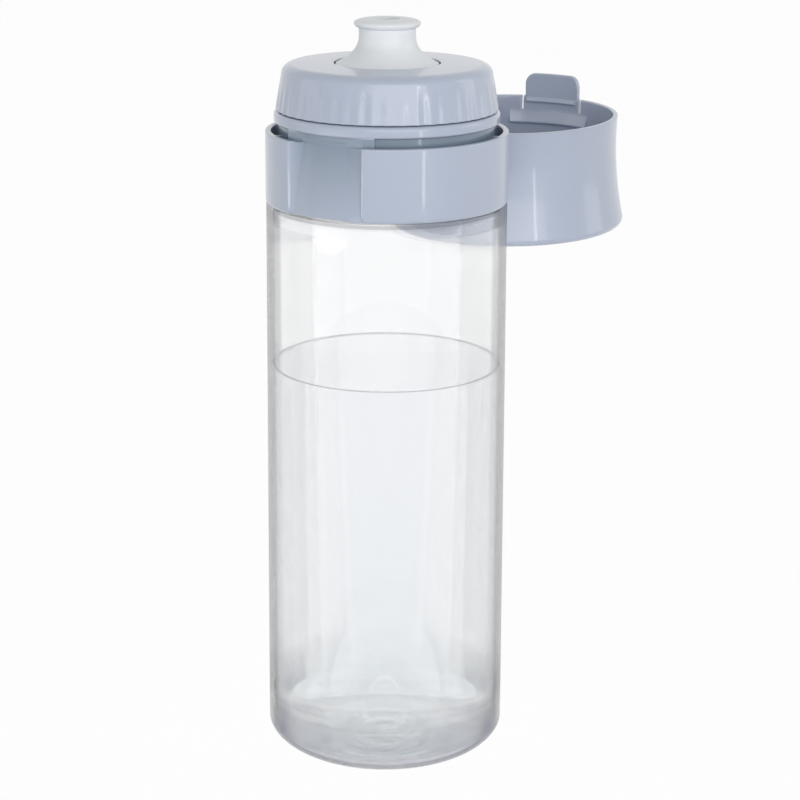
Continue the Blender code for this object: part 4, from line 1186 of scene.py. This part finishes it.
@dataclass
class NeckCollar:
    """The collar: band, channel, inner ring with flange, latch recess, webs, ribs and hinge ears."""

    sizes: BottleSizes
    shop: FinishShop
    channel_depth: float = 0.0090
    channel_floor: float = 0.0014
    lip_reach: float = 0.0018
    lip_height: float = 0.0014
    rib_angles: tuple[float, ...] = (45.0, 75.0, 105.0, 135.0, 225.0, 255.0, 285.0, 315.0)
    rib_width: float = 0.0009
    rib_drop: float = 0.0006
    rib_rounding: float = 0.00015
    recess_left: float = -22.1
    recess_right: float = 18.1
    top_depth: float = 0.0037
    foot_depth: float = 0.0008
    left_foot: float = -20.3
    left_top: float = -17.0
    wall_angle: float = 17.5
    wall_share: float = 0.6
    crease_foot: float = 13.2
    crease_top: float = 8.8
    left_rounding: float = 0.0024
    right_rounding: float = 0.0007
    rim_shares: Point = (1.4, 0.4)
    floor_rounding: float = 0.0008
    foot_rounding: float = 0.0024
    backing: float = 0.0017
    backing_span: Point = (-24.8, 19.6)
    web_angle: float = 6.3
    web_starts: Point = (-29.0, 17.5)
    web_lap: float = 0.5
    web_inset: float = 0.00015
    ear_radius: float = 0.0029
    ear_width: float = 0.0040
    ear_root: float = 0.0022
    ear_gusset: float = 0.0030
    ear_rounding: float = 0.0003
    knuckle_half: float = 0.0069
    pin_hole: float = 0.00115
    facets: int = 192

    def build(self) -> None:
        """Build the collar."""
        collar = to_object("neck_collar_shell", lathe(self.outline(), self.facets))
        combine(collar, self.recess_backing(), Operation.JOIN)
        combine(collar, gathered(self.webs() + self.ribs()), Operation.JOIN)
        combine(collar, self.recess_riser(), Operation.JOIN)
        combine(collar, gathered(self.ears()), Operation.JOIN)
        combine(collar, self.recess_cutter(), Operation.CUT)
        hinge = self.sizes.hinge
        reach = Vector((self.knuckle_half + self.ear_width + OVERRUN, 0.0, 0.0))
        combine(collar, cylinder(self.pin_hole, hinge - reach, hinge + reach), Operation.CUT)
        settle_shading(collar)
        self.shop.dress(collar, Finish.TINTED)
        # The collar's copy of the tinted finish carries the painted shade in its recess and channel.
        collar.material_slots[0].material = self.shop.collar
        hand_over(collar, Part.BOTTLE, "neck_collar")

    def outline(self) -> Outline:
        """Return the collar's section."""
        s = self.sizes
        band_inner = s.collar_radius - s.band_wall
        channel = s.band_top - self.channel_depth
        under = channel - self.channel_floor
        lip = s.ring_inner - self.lip_reach
        lip_top = s.collar_bottom + self.lip_height
        return filleted([
            (band_inner, s.collar_bottom, 0.0003), (s.collar_radius, s.collar_bottom, 0.0013),
            (s.collar_radius, s.band_top, 0.0005), (band_inner, s.band_top, 0.0004),
            (band_inner, channel, 0.0004), (s.ring_outer, channel, 0.0004),
            (s.ring_outer, s.flange_bottom, 0.0003), (s.flange_radius, s.flange_bottom, 0.0017),
            (s.flange_radius, s.flange_top, 0.0017), (s.ring_inner, s.flange_top, 0.0003),
            (s.ring_inner, lip_top, 0.0002), (lip, lip_top, 0.0003), (lip, s.collar_bottom, 0.0004),
            (s.ring_outer, s.collar_bottom, 0.0003), (s.ring_outer, under, 0.0004),
            (band_inner, under, 0.0004),
        ], 6)

    def recess_plan(self, height: float, steps: int = 12) -> list[Vector]:
        """Return the latch recess in plan at a height.

        The left side rolls in over a wide rounding. The right side goes straight in, then slopes to a
        crease.

        Args:
            height: Height of the plan.
            steps: Chords along its floor and along its outer side.

        Returns:
            The same number of points at every height.
        """
        s = self.sizes
        share = (height - s.collar_bottom) / (s.band_top - s.collar_bottom)
        depth = self.foot_depth + (self.top_depth - self.foot_depth) * share
        to_length = radians(1.0) * s.collar_radius
        lift = max(0.0, min(self.foot_rounding, height - s.collar_bottom))
        flare = self.foot_rounding - sqrt(self.foot_rounding ** 2 - (self.foot_rounding - lift) ** 2)
        left = self.recess_left * to_length - flare
        right = self.recess_right * to_length + flare
        left_in = (self.left_foot + (self.left_top - self.left_foot) * share) * to_length - flare
        crease = (self.crease_foot + (self.crease_top - self.crease_foot) * share) * to_length
        beyond = self.foot_rounding * 3.0
        rims = (min(self.left_rounding, depth * self.rim_shares[0]),
                min(self.right_rounding, depth * self.rim_shares[1]))
        corners = filleted([
            (left - beyond, 0.0, 0.0), (left, 0.0, rims[0]), (left_in, depth, self.floor_rounding),
            (crease, depth, self.floor_rounding),
            (self.wall_angle * to_length + flare, depth * self.wall_share, self.floor_rounding),
            (right, 0.0, rims[1]), (right + beyond, 0.0, 0.0),
        ])[1:-1]
        middle = len(corners) // 5 * 2
        first, last = corners[middle - 1], corners[middle]
        floor = [(first[0] + (last[0] - first[0]) * step / steps, depth) for step in range(1, steps)]
        low, high = corners[0][0], corners[-1][0]
        outside = [(high + (low - high) * step / steps, -OVERRUN) for step in range(steps + 1)]
        plan = corners[:middle] + floor + corners[middle:] + outside
        return [front_point(s.collar_radius - sunk, place / to_length, height) for place, sunk in plan]

    def recess_cutter(self) -> BMesh:
        """Return the solid that cuts the latch recess."""
        s = self.sizes
        low = s.collar_bottom
        heights = [low - ROOT, low] + [low + self.foot_rounding * step / 6 for step in range(1, 7)]
        heights += [low + (s.band_top - low) * share for share in (0.3, 0.5, 0.7, 0.9)]
        heights += [s.band_top + OVERRUN]
        return lofted([self.recess_plan(height) for height in heights])

    def recess_backing(self, steps: int = 12) -> BMesh:
        """Return the wall behind the recess."""
        s = self.sizes
        start, end = self.backing_span
        outer = s.collar_radius - s.band_wall + ROOT
        low_inner = s.collar_radius - self.foot_depth - self.backing
        high_inner = s.ring_outer - ROOT
        middle = s.band_top - self.channel_depth - self.channel_floor / 2
        loops = []
        for height, inner in ((s.collar_bottom + s.gap, low_inner), (middle, high_inner),
                              (s.band_top - s.gap, high_inner)):
            angles = [start + (end - start) * step / steps for step in range(steps + 1)]
            loops.append([front_point(outer, angle, height) for angle in angles]
                         + [front_point(inner, angle, height) for angle in angles[::-1]])
        return lofted(loops)

    def recess_riser(self, steps: int = 12) -> BMesh:
        """Return the skin that carries the recess's floor up to the flange."""
        s = self.sizes
        deep = s.collar_radius - self.top_depth - HAIR
        face = s.flange_radius - self.web_inset - HAIR
        inner = s.ring_outer - ROOT
        floor_span = self.crease_top - self.left_top
        plan = [(self.web_starts[0] + self.web_angle - self.web_lap, face)]
        plan += [(self.left_top + floor_span * step / steps, deep) for step in range(steps + 1)]
        plan += [(self.web_starts[1] + self.web_lap, face)]
        loops = []
        for height in (s.band_top - 0.0008, s.flange_bottom + 0.0004):
            loops.append([front_point(radius, angle, height) for angle, radius in plan]
                         + [front_point(inner, angle, height) for angle, radius in plan[::-1]])
        return lofted(loops)

    def webs(self) -> list[BMesh]:
        """Return the two webs beside the recess that carry the flange on the band."""
        s = self.sizes
        inner = s.ring_outer - ROOT
        face = s.flange_radius - self.web_inset
        band = s.collar_radius - s.band_wall + ROOT
        low = s.band_top - self.channel_depth - self.channel_floor / 2
        ledge = s.band_top - ROOT
        high = (s.flange_bottom + s.flange_top) / 2
        outline = [(inner, low), (band, low), (band, ledge), (face, ledge), (face, high), (inner, high)]
        return [sector(outline, start, start + self.web_angle, 6) for start in self.web_starts]

    def ribs(self) -> list[BMesh]:
        """Return the thin ribs across the channel."""
        s = self.sizes
        band_inner = s.collar_radius - s.band_wall
        low = s.band_top - self.channel_depth - self.channel_floor / 2
        half = self.rib_width / 2
        start = (-half, -band_inner - ROOT, low)
        end = (half, -s.ring_outer + ROOT, s.band_top - self.rib_drop)
        return [turned(block(start, end, self.rib_rounding), radians(angle)) for angle in self.rib_angles]

    def ears(self) -> list[BMesh]:
        """Return the two ears that hold the hinge pin."""
        hinge = self.sizes.hinge
        root = self.sizes.collar_radius - self.ear_root
        outline = [(root, hinge.z - self.ear_radius - self.ear_gusset)]
        outline += arc((hinge.y, hinge.z), (self.ear_radius, self.ear_radius), -90.0, 90.0, 14)
        outline += [(root, hinge.z + self.ear_radius)]
        outer = self.knuckle_half + self.ear_width
        spans = ((self.knuckle_half, outer), (-outer, -self.knuckle_half))
        return [prism(outline, low, high, self.ear_rounding) for low, high in spans]


@dataclass
class FlipCap:
    """The waisted flip cap with its latch tongue, hook and hinge arm."""

    sizes: BottleSizes
    shop: FinishShop
    wall: float = 0.0016
    top_wall: float = 0.0018
    side_height: float = 0.0338
    waist_pull: float = 0.00263
    flare: float = 0.00221
    corner: float = 0.0022
    tongue_width: float = 0.0206
    tongue_drop: float = 0.0076
    tongue_corner: float = 0.0036
    tongue_inset: float = 0.00012
    tongue_edge: float = 0.0004
    tongue_rise: float = 0.0012
    rim_rounding: float = 0.0004
    tongue_columns: int = 16
    slot: float = 0.0010
    slot_height: float = 0.0050
    slot_rounding: float = 0.45
    hook_start: float = 0.0004
    hook_height: float = 0.0015
    hook_reach: float = 0.0014
    hook_margin: float = 0.0005
    pad_start: float = 0.0053
    pad_height: float = 0.0043
    pad_reach: float = 0.0012
    pad_half: float = 25.0
    knuckle_radius: float = 0.0024
    knuckle_half: float = 0.0065
    arm_root: float = 0.0011
    arm_height: float = 0.0088
    arm_tip: float = 0.0006
    pin_hole: float = 0.00115
    facets: int = 192

    @property
    def rim(self) -> float:
        """Height of the rim when the cap is shut."""
        return self.sizes.band_top + self.sizes.gap

    def side_radius(self, height: float) -> float:
        """Return the outer radius at a height above the rim."""
        share = height / self.side_height
        spread = (self.waist_pull + self.flare) * share * share
        return self.sizes.collar_radius - self.waist_pull * share + spread

    def build(self) -> None:
        """Build the cap shut, then swing it open."""
        cap = to_object("flip_cap_shell", lathe(self.shell_outline(), self.facets))
        combine(cap, gathered(self.slots()), Operation.CUT)
        combine(cap, self.tongue(), Operation.JOIN)
        combine(cap, gathered(self.ridges()), Operation.JOIN)
        combine(cap, self.arm(), Operation.JOIN)
        hinge = self.sizes.hinge
        reach = Vector((self.knuckle_half + OVERRUN, 0.0, 0.0))
        combine(cap, cylinder(self.pin_hole, hinge - reach, hinge + reach), Operation.CUT)
        swing = Matrix.Translation(hinge) @ Matrix.Rotation(-radians(self.sizes.opening_angle), 4, "X")
        cap.data.transform(swing @ Matrix.Translation(-hinge))
        settle_shading(cap)
        self.shop.dress(cap, Finish.TINTED)
        hand_over(cap, Part.CAP, "flip_cap")

    def shell_outline(self, steps: int = 20) -> Outline:
        """Return the section of the cap's shell, from the axis outside back to the axis inside."""
        radius = self.sizes.collar_radius
        rim = self.rim
        heights = [0.0006 + (self.side_height - 0.0006) * step / steps for step in range(steps + 1)]
        wide = self.side_radius(self.side_height)
        corner_z = rim + self.side_height
        top = corner_z + self.corner
        inner_corner = self.corner - self.wall / 2
        ceiling = top - self.top_wall
        outline = [(0.0, top), (wide * 0.5, top)]
        outline += arc((wide - self.corner, corner_z), (self.corner, self.corner), 90.0, 0.0, 10)
        outline += [(self.side_radius(h), rim + h) for h in heights[-2::-1]]
        soft = self.rim_rounding
        outline += arc((radius - soft, rim + soft), (soft, soft), -20.0, -90.0, 3)
        outline += arc((radius - self.wall + soft, rim + soft), (soft, soft), -90.0, -160.0, 3)
        outline += [(self.side_radius(h) - self.wall, rim + h) for h in heights[:-1]]
        outline += arc((wide - self.wall - inner_corner, ceiling - inner_corner),
                       (inner_corner, inner_corner), 0.0, 90.0, 8)
        outline += [(wide * 0.5, ceiling), (0.0, ceiling)]
        return outline

    def tongue(self) -> BMesh:
        """Return the latch tongue, bent to the rim's radius, with rounded corners and edges."""
        half = self.tongue_width / 2
        low = self.rim - self.tongue_drop
        high = self.rim + self.tongue_rise
        corner = (self.tongue_corner, self.tongue_corner)
        flat = [(-half, high)]
        flat += arc((-half + corner[0], low + corner[1]), corner, 180.0, 270.0, 8)
        flat += arc((half - corner[0], low + corner[1]), corner, 270.0, 360.0, 8)
        flat += [(half, high)]
        mesh = bmesh.new()
        mesh.faces.new([mesh.verts.new((x, 0.0, z)) for x, z in flat])
        for column in range(1, self.tongue_columns):
            cut = -half + self.tongue_width * column / self.tongue_columns
            geometry = list(mesh.verts) + list(mesh.edges) + list(mesh.faces)
            bmesh.ops.bisect_plane(mesh, geom=geometry, plane_co=(cut, 0.0, 0.0), plane_no=(1.0, 0.0, 0.0))
        thickened(mesh, (0.0, self.wall, 0.0))
        bmesh.ops.recalc_face_normals(mesh, faces=mesh.faces)
        rims = [edge for edge in mesh.edges if edge.calc_face_angle(0.0) > radians(60.0)
                and min(vertex.co.z for vertex in edge.verts) < high - MERGE]
        rounded(mesh, rims, self.tongue_edge, 3)
        outer = self.sizes.collar_radius
        for vertex in mesh.verts:
            radius = outer - self.tongue_inset - vertex.co.y
            angle = vertex.co.x / outer
            vertex.co = Vector((radius * sin(angle), -radius * cos(angle), vertex.co.z))
        return cleaned(mesh)

    def slots(self) -> list[BMesh]:
        """Return the cutters for the two slots beside the tongue's root."""
        inner = self.tongue_width / 2
        outer = self.sizes.collar_radius
        beyond = OVERRUN * 2
        cutters = []
        for side in (-1, 1):
            low_x, high_x = sorted((side * inner, side * (inner + self.slot)))
            slot = block((low_x, -outer - beyond, self.rim - beyond),
                         (high_x, -outer / 2, self.rim + self.slot_height))
            spans = {edge: edge.verts[0].co - edge.verts[1].co for edge in slot.edges}
            top = [edge for edge, span in spans.items() if abs(span.x) < MERGE and abs(span.y) > outer / 4
                   and min(vertex.co.z for vertex in edge.verts) > self.rim]
            cutters.append(rounded(slot, top, self.slot * self.slot_rounding, 4))
        return cutters

    def ridges(self) -> list[BMesh]:
        """Return the hook inside the tongue and the stiffening band above its root."""
        inner = self.sizes.collar_radius - self.wall
        hook_low = self.rim + self.hook_start
        hook_high = hook_low + self.hook_height
        half = (self.tongue_width / 2 - self.hook_margin) / self.sizes.collar_radius * 180.0 / pi
        crest = inner - self.hook_reach
        hook = filleted([(inner + ROOT, hook_low, 0.0), (inner, hook_low, 0.0),
                         (crest, hook_high - 0.0005, 0.0003), (crest, hook_high, 0.0002),
                         (inner + ROOT, hook_high, 0.0)], 3)
        low = self.rim + self.pad_start
        high = low + self.pad_height
        deep = self.side_radius(self.pad_start + self.pad_height) - self.wall
        crest = deep - self.pad_reach
        pad = filleted([(deep + ROOT * 2, low, 0.0), (deep + 0.0001, low, 0.0),
                        (crest, high - 0.0010, 0.0005), (crest, high - 0.0004, 0.0003),
                        (deep + ROOT * 2, high, 0.0)], 3)
        return [sector(hook, -half, half, 12), sector(pad, -self.pad_half, self.pad_half, 24)]

    def arm(self) -> BMesh:
        """Return the hinge knuckle and its arm up the cap's wall."""
        hinge = self.sizes.hinge
        outer = self.sizes.collar_radius
        wall = outer - self.arm_root
        foot = self.rim + ROOT
        tip = foot + self.arm_height
        outline = arc((hinge.y, hinge.z), (self.knuckle_radius, self.knuckle_radius), 180.0, 360.0, 20)
        outline += [(hinge.y + self.knuckle_radius, foot), (outer + self.arm_tip, tip), (wall, tip)]
        outline += [(wall, foot), (hinge.y - self.knuckle_radius, foot)]
        return prism(outline, -self.knuckle_half, self.knuckle_half, 0.0004)


@dataclass
class ScrewLid:
    """The screw lid with its fluted side, well, stem, plug, skirt and filter ring."""

    sizes: BottleSizes
    shop: FinishShop
    lid_step: float = 0.0006
    draft: float = 0.0017
    shoulder: Point = (0.0036, 0.0030)
    crown: float = 0.00025
    skirt_length: float = 0.0160
    flutes: int = 48
    flute_depth: float = 0.00032
    flute_rise: float = 1.5
    side_steps: int = 12
    well_radius: float = 0.0158
    well_wall: float = 0.0015
    mouth_sink: float = 0.0004
    travel: float = 0.0050
    stem_radius: float = 0.0060
    stem_wall: float = 0.0014
    groove_depth: float = 0.0009
    groove_height: float = 0.0014
    groove_below: float = 0.0017
    ceiling_drop: float = 0.0022
    plug_radius: float = 0.0032
    plug_rounding: float = 0.0009
    plug_taper: float = 0.0008
    spoke_width: float = 0.0011
    spoke_height: float = 0.0018
    spoke_sink: float = 0.0004
    spokes: int = 3
    plug_facets: int = 48
    filter_ring_outer: float = 0.0238
    filter_ring_wall: float = 0.0016
    filter_ring_drop: float = 0.0131
    valve_offset: float = 0.0100
    valve_hole: float = 0.0011
    vent_hole: float = 0.0005
    vent_offset: float = 0.0019
    vents: int = 4
    hole_facets: int = 20
    steps_per_flute: int = 6

    def build(self) -> None:
        """Build the lid."""
        mouth_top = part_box("mouthpiece")[1].z
        self.well_floor = self.sizes.lid_top - self.mouth_sink - self.travel - self.sizes.gap
        self.stem_top = mouth_top - self.ceiling_drop - self.travel - self.sizes.gap
        self.plug_top = mouth_top - self.travel - self.sizes.gap
        shell = lathe(self.outline(), self.flutes * self.steps_per_flute)
        lid = to_object("screw_lid_shell", self.fluted(shell))
        combine(lid, gathered(self.plug()), Operation.JOIN, crossing=True)
        combine(lid, gathered(self.vent_holes()), Operation.CUT)
        settle_shading(lid)
        self.shop.dress(lid, Finish.TINTED)
        hand_over(lid, Part.LID, "screw_lid")

    def outline(self) -> Outline:
        """Return the lid's section, from the shoulder down the outside and back through the well."""
        s = self.sizes
        radius = s.flange_radius - self.lid_step
        top_radius = radius - self.draft
        bore = self.stem_radius - self.stem_wall
        under = self.well_floor - self.well_wall
        groove_top = self.stem_top - self.groove_below
        groove_low = groove_top - self.groove_height
        groove_r = self.stem_radius - self.groove_depth
        skirt_low = s.lid_bottom - self.skirt_length
        ring_inner = self.filter_ring_outer - self.filter_ring_wall
        ring_low = s.lid_ceiling - self.filter_ring_drop
        well_outer = self.well_radius + self.well_wall
        side_low = s.lid_bottom + 0.0004
        side_high = s.lid_top - self.shoulder[1]
        side_fall = side_low - side_high
        outline = arc((top_radius - self.shoulder[0], side_high), self.shoulder, 90.0, 0.0, 14)
        for step in range(1, self.side_steps + 1):
            outline.append((top_radius + self.draft * step / self.side_steps,
                            side_high + side_fall * step / self.side_steps))
        outline += filleted([
            (radius, side_low - MERGE * 10, 0.0), (radius, s.lid_bottom, 0.0003),
            (s.skirt_outer, s.lid_bottom, 0.0002),
            (s.skirt_outer, skirt_low, 0.0003), (s.skirt_inner, skirt_low, 0.0003),
            (s.skirt_inner, s.lid_ceiling, 0.0004), (self.filter_ring_outer, s.lid_ceiling, 0.0004),
            (self.filter_ring_outer, ring_low, 0.0004), (ring_inner, ring_low, 0.0003),
            (ring_inner, s.lid_ceiling, 0.0004), (well_outer, s.lid_ceiling, 0.0005),
            (well_outer, under, 0.0006), (bore, under, 0.0004), (bore, self.stem_top, 0.0003),
            (self.stem_radius, self.stem_top, 0.0005), (self.stem_radius, groove_top, 0.0001),
            (groove_r, groove_top, 0.0001), (groove_r, groove_low, 0.0001),
            (self.stem_radius, groove_low, 0.0001), (self.stem_radius, self.well_floor, 0.0004),
            (self.well_radius, self.well_floor, 0.0005), (self.well_radius, s.lid_top + self.crown, 0.0004),
            (self.well_radius + 0.004, s.lid_top + self.crown, 0.0),
        ], 4)[1:]
        return outline

    def fluted(self, mesh: BMesh) -> BMesh:
        """Press shallow flutes into the lid's side, deepest at its lower edge."""
        s = self.sizes
        side_high = s.lid_top - self.shoulder[1]
        for vertex in mesh.verts:
            radius = vertex.co.xy.length
            share = (side_high - vertex.co.z) / (side_high - s.lid_bottom)
            on_side = 0.0 < share <= 1.001 and vertex.co.z > s.lid_bottom - HAIR
            if on_side and radius > s.skirt_outer + s.gap:
                angle = Vector((1.0, 0.0)).angle_signed(vertex.co.xy)
                wave = 0.5 - 0.5 * cos(angle * self.flutes)
                press = self.flute_depth * wave * min(1.0, share * self.flute_rise)
                vertex.co.xy *= 1.0 - press / radius
        return mesh

    def plug(self) -> list[BMesh]:
        """Return the plug that closes the mouthpiece, and its spokes."""
        low = self.stem_top - self.spoke_height - self.spoke_sink
        high = low + self.spoke_height
        foot = low - self.sizes.gap
        outline = filleted([
            (0.0, foot, 0.0), (self.plug_radius - self.plug_taper, foot, 0.0003),
            (self.plug_radius, high, 0.0002), (self.plug_radius, self.plug_top, self.plug_rounding),
            (0.0, self.plug_top, 0.0)])
        reach = self.stem_radius - self.stem_wall / 2
        half = self.spoke_width / 2
        spokes = [turned(block((0.0, -half, low), (reach, half, high)), 2 * pi * number / self.spokes)
                  for number in range(self.spokes)]
        return [lathe(outline, self.plug_facets)] + spokes

    def vent_holes(self) -> list[BMesh]:
        """Return the cutters for the vent valve's holes."""
        low = self.well_floor - self.well_wall - OVERRUN
        high = self.well_floor + OVERRUN
        places = [(0.0, self.valve_offset, self.valve_hole)]
        for hole in range(self.vents):
            angle = 2 * pi * (hole + 0.5) / self.vents
            places.append((self.vent_offset * cos(angle), self.valve_offset + self.vent_offset * sin(angle),
                           self.vent_hole))
        return [cylinder(radius, Vector((x, y, low)), Vector((x, y, high)), self.hole_facets)
                for x, y, radius in places]


@dataclass
class Mouthpiece:
    """The white push-pull mouthpiece, pulled up."""

    sizes: BottleSizes
    shop: FinishShop
    flare_radius: float = 0.0153
    neck_radius: float = 0.00844
    flare_height: float = 0.0088
    flare_power: float = 2.5
    flare_edge: float = 0.0010
    hollow: float = 0.0026
    bore: float = 0.0065
    top_wall: float = 0.0022
    hole: float = 0.0035
    hole_rounding: float = 0.0006
    flare_rounding: float = 0.0003
    flare_steps: int = 20
    lip_radius: float = 0.0099
    crown_width: float = 0.0052
    crown_height: float = 0.0013
    lip_underside: float = 0.0013
    facets: int = 144

    def build(self) -> None:
        """Build the mouthpiece."""
        low, high = (corner.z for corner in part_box("mouthpiece"))
        spout = to_object("mouthpiece_shell", lathe(self.outline(low, high), self.facets))
        settle_shading(spout)
        self.shop.dress(spout, Finish.WHITE)
        hand_over(spout, Part.SPOUT, "mouthpiece")

    def outline(self, base: float, top: float) -> Outline:
        """Return the mouthpiece's section between its base and top heights."""
        middle = top - self.crown_height
        lip_width = self.lip_radius - self.neck_radius
        edge, soft = self.hole_rounding, self.flare_rounding
        outline = arc((self.hole + edge, top - edge), (edge, edge), 180.0, 90.0, 5)
        outline += arc((self.lip_radius - self.crown_width, middle), (self.crown_width, self.crown_height),
                       90.0, 0.0, 14)
        outline += arc((self.neck_radius, middle), (lip_width, self.lip_underside), -12.0, -78.0, 8)
        flare_top = base + self.flare_height
        neck_low = flare_top + 0.0004
        outline += [(self.neck_radius, middle - self.lip_underside - 0.0002), (self.neck_radius, neck_low)]
        for step in range(self.flare_steps + 1):
            share = step / self.flare_steps
            radius = self.neck_radius + (self.flare_radius - self.neck_radius) * share ** self.flare_power
            outline.append((radius, flare_top - (self.flare_height - soft) * share))
        outline += arc((self.flare_radius - soft, base + soft), (soft, soft), -20.0, -90.0, 3)
        inside = self.flare_radius - self.flare_edge
        outline += filleted([
            (inside + soft, base, 0.0), (inside, base, 0.0002),
            (self.bore, base + self.hollow, 0.0004), (self.bore, top - self.top_wall, 0.0005),
            (self.hole, top - self.top_wall, 0.0003), (self.hole, top - OVERRUN, 0.0),
        ])[1:]
        return outline


@dataclass
class InnerParts:
    """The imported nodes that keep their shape: pin, seals, valve and filter stack."""

    shop: FinishShop
    finishes: dict[str, Finish] = field(default_factory=lambda: {
        "hinge_pin": Finish.STEEL, "spout_seal": Finish.SILICONE, "lid_gasket": Finish.SILICONE,
        "vent_valve": Finish.SILICONE, "disc_seal_ring": Finish.SILICONE, "filter_holder": Finish.TINTED,
        "filter_disc": Finish.CARBON, "disc_fleece_top": Finish.FLEECE, "disc_fleece_bottom": Finish.FLEECE,
    })

    def dress(self, nodes: dict[str, Object]) -> None:
        """Put each node's finish on it."""
        for name, finish in self.finishes.items():
            self.shop.dress_node(nodes[name], finish)
            LOG.info("%s keeps its packed shape in %s", name, finish.value)


# Studio


@dataclass(frozen=True)
class PhotoCamera:
    """The camera that took the photograph, fitted to the bottle's rings."""

    turn: float = radians(29.8)
    distance: float = 0.6700642
    height: float = 0.3069184
    pitch: float = 0.2832
    yaw: float = -0.0064
    roll: float = 0.0053
    focal_pixels: float = 2265.7
    image_pixels: float = 800.0
    sensor: float = 36.0
    clip_start: float = 0.01

    def build(self) -> None:
        """Build the camera and look through it."""
        right = Vector((cos(self.yaw), sin(self.yaw), 0.0))
        ahead = Vector((-sin(self.yaw), cos(self.yaw), 0.0))
        forward = ahead * cos(self.pitch) - UP * sin(self.pitch)
        tilted_up = ahead * sin(self.pitch) + UP * cos(self.pitch)
        rolled_right = right * cos(self.roll) + tilted_up * sin(self.roll)
        rolled_up = tilted_up * cos(self.roll) - right * sin(self.roll)
        frame = Matrix((rolled_right, rolled_up, -forward)).transposed().to_4x4()
        data = bpy.data.cameras.new("photo_camera")
        data.sensor_width = self.sensor
        data.lens = self.focal_pixels * self.sensor / self.image_pixels
        data.clip_start = self.clip_start
        camera = bpy.data.objects.new("photo_camera", data)
        bpy.context.scene.collection.objects.link(camera)
        place = Matrix.Translation((0.0, -self.distance, self.height))
        camera.matrix_world = Matrix.Rotation(self.turn, 4, "Z") @ place @ frame
        bpy.context.scene.camera = camera


@dataclass(frozen=True)
class Softbox:
    """A soft rectangular lamp aimed at the bottle."""

    name: str
    bearing: float
    elevation: float
    distance: float
    width: float
    length: float
    power: float
    aim_height: float = 0.15
    upright: bool = False

    def build(self) -> None:
        """Build the lamp."""
        data = bpy.data.lights.new(self.name, "AREA")
        data.shape = "RECTANGLE"
        data.size = self.width
        data.size_y = self.length
        data.energy = self.power
        lamp = bpy.data.objects.new(self.name, data)
        bpy.context.scene.collection.objects.link(lamp)
        target = Vector((0.0, 0.0, self.aim_height))
        flat = front_point(self.distance * cos(radians(self.elevation)), self.bearing, 0.0)
        lamp.location = target + flat + Vector((0.0, 0.0, self.distance * sin(radians(self.elevation))))
        if self.upright:
            target.z = lamp.location.z
        lamp.rotation_euler = (target - lamp.location).to_track_quat("-Z", "Y").to_euler()
        lamp.visible_camera = False
        lamp.visible_transmission = False


@dataclass(frozen=True)
class Studio:
    """Pale floor, white surround, soft lamps and the camera."""

    floor_radius: float = 4.0
    floor_drop: float = 0.0001
    floor_facets: int = 96
    ambient: float = 0.42
    lamps: tuple[Softbox, ...] = (
        Softbox("key_softbox", 42.0, 19.0, 1.2, 1.3, 0.9, 6.7),
        Softbox("left_softbox", -62.0, 15.0, 1.3, 0.5, 0.9, 0.6),
        Softbox("right_softbox", 125.0, 15.0, 1.3, 0.5, 0.9, 1.4),
        Softbox("back_softbox", 205.0, 55.0, 1.2, 0.6, 0.6, 0.15),
        Softbox("lid_strip", 9.0, 0.0, 0.5, 0.02, 0.07, 0.014, 0.285, True),
        Softbox("left_strip", -25.0, 0.0, 0.5, 0.30, 0.038, 0.22, 0.084, True),
        Softbox("side_strip", 63.0, 0.0, 0.45, 0.022, 0.205, 0.075, 0.1975, True),
    )

    def build(self) -> None:
        """Build the studio."""
        self.build_floor()
        self.build_world()
        for lamp in self.lamps:
            lamp.build()
        PhotoCamera().build()

    def build_floor(self) -> None:
        """Build the round floor under the bottle."""
        mesh = bmesh.new()
        bmesh.ops.create_circle(mesh, cap_ends=True, radius=self.floor_radius, segments=self.floor_facets)
        bmesh.ops.translate(mesh, verts=mesh.verts, vec=(0.0, 0.0, -self.floor_drop))
        floor = to_object("floor", mesh)
        floor.data.materials.append(PaleFloor().build())

    def build_world(self) -> None:
        """Build the surround: plain white where it is seen, softer where it lights."""
        world = bpy.data.worlds.new("white_surround")
        bpy.context.scene.world = world
        world.use_nodes = True
        nodes = Nodes(world.node_tree)
        rise = nodes.maths("MULTIPLY", nodes.background_rays(), 1.0 - self.ambient)
        nodes.feed(world.node_tree.nodes["Background"],
                   {"Color": WHITE, "Strength": nodes.maths("ADD", rise, self.ambient)})


def main() -> None:
    """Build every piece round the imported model."""
    logging.basicConfig(level=logging.INFO, format="%(name)s: %(message)s")
    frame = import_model()
    sizes = BottleSizes.from_frame()
    shop = FinishShop(sizes)
    for piece in (ClearVessel, NeckCollar, FlipCap, ScrewLid, Mouthpiece):
        piece(sizes, shop).build()
    InnerParts(shop).dress(frame["nodes"])
    Studio().build()
    bpy.context.scene.view_settings.view_transform = "Standard"


if __name__ == "__main__":
    main()
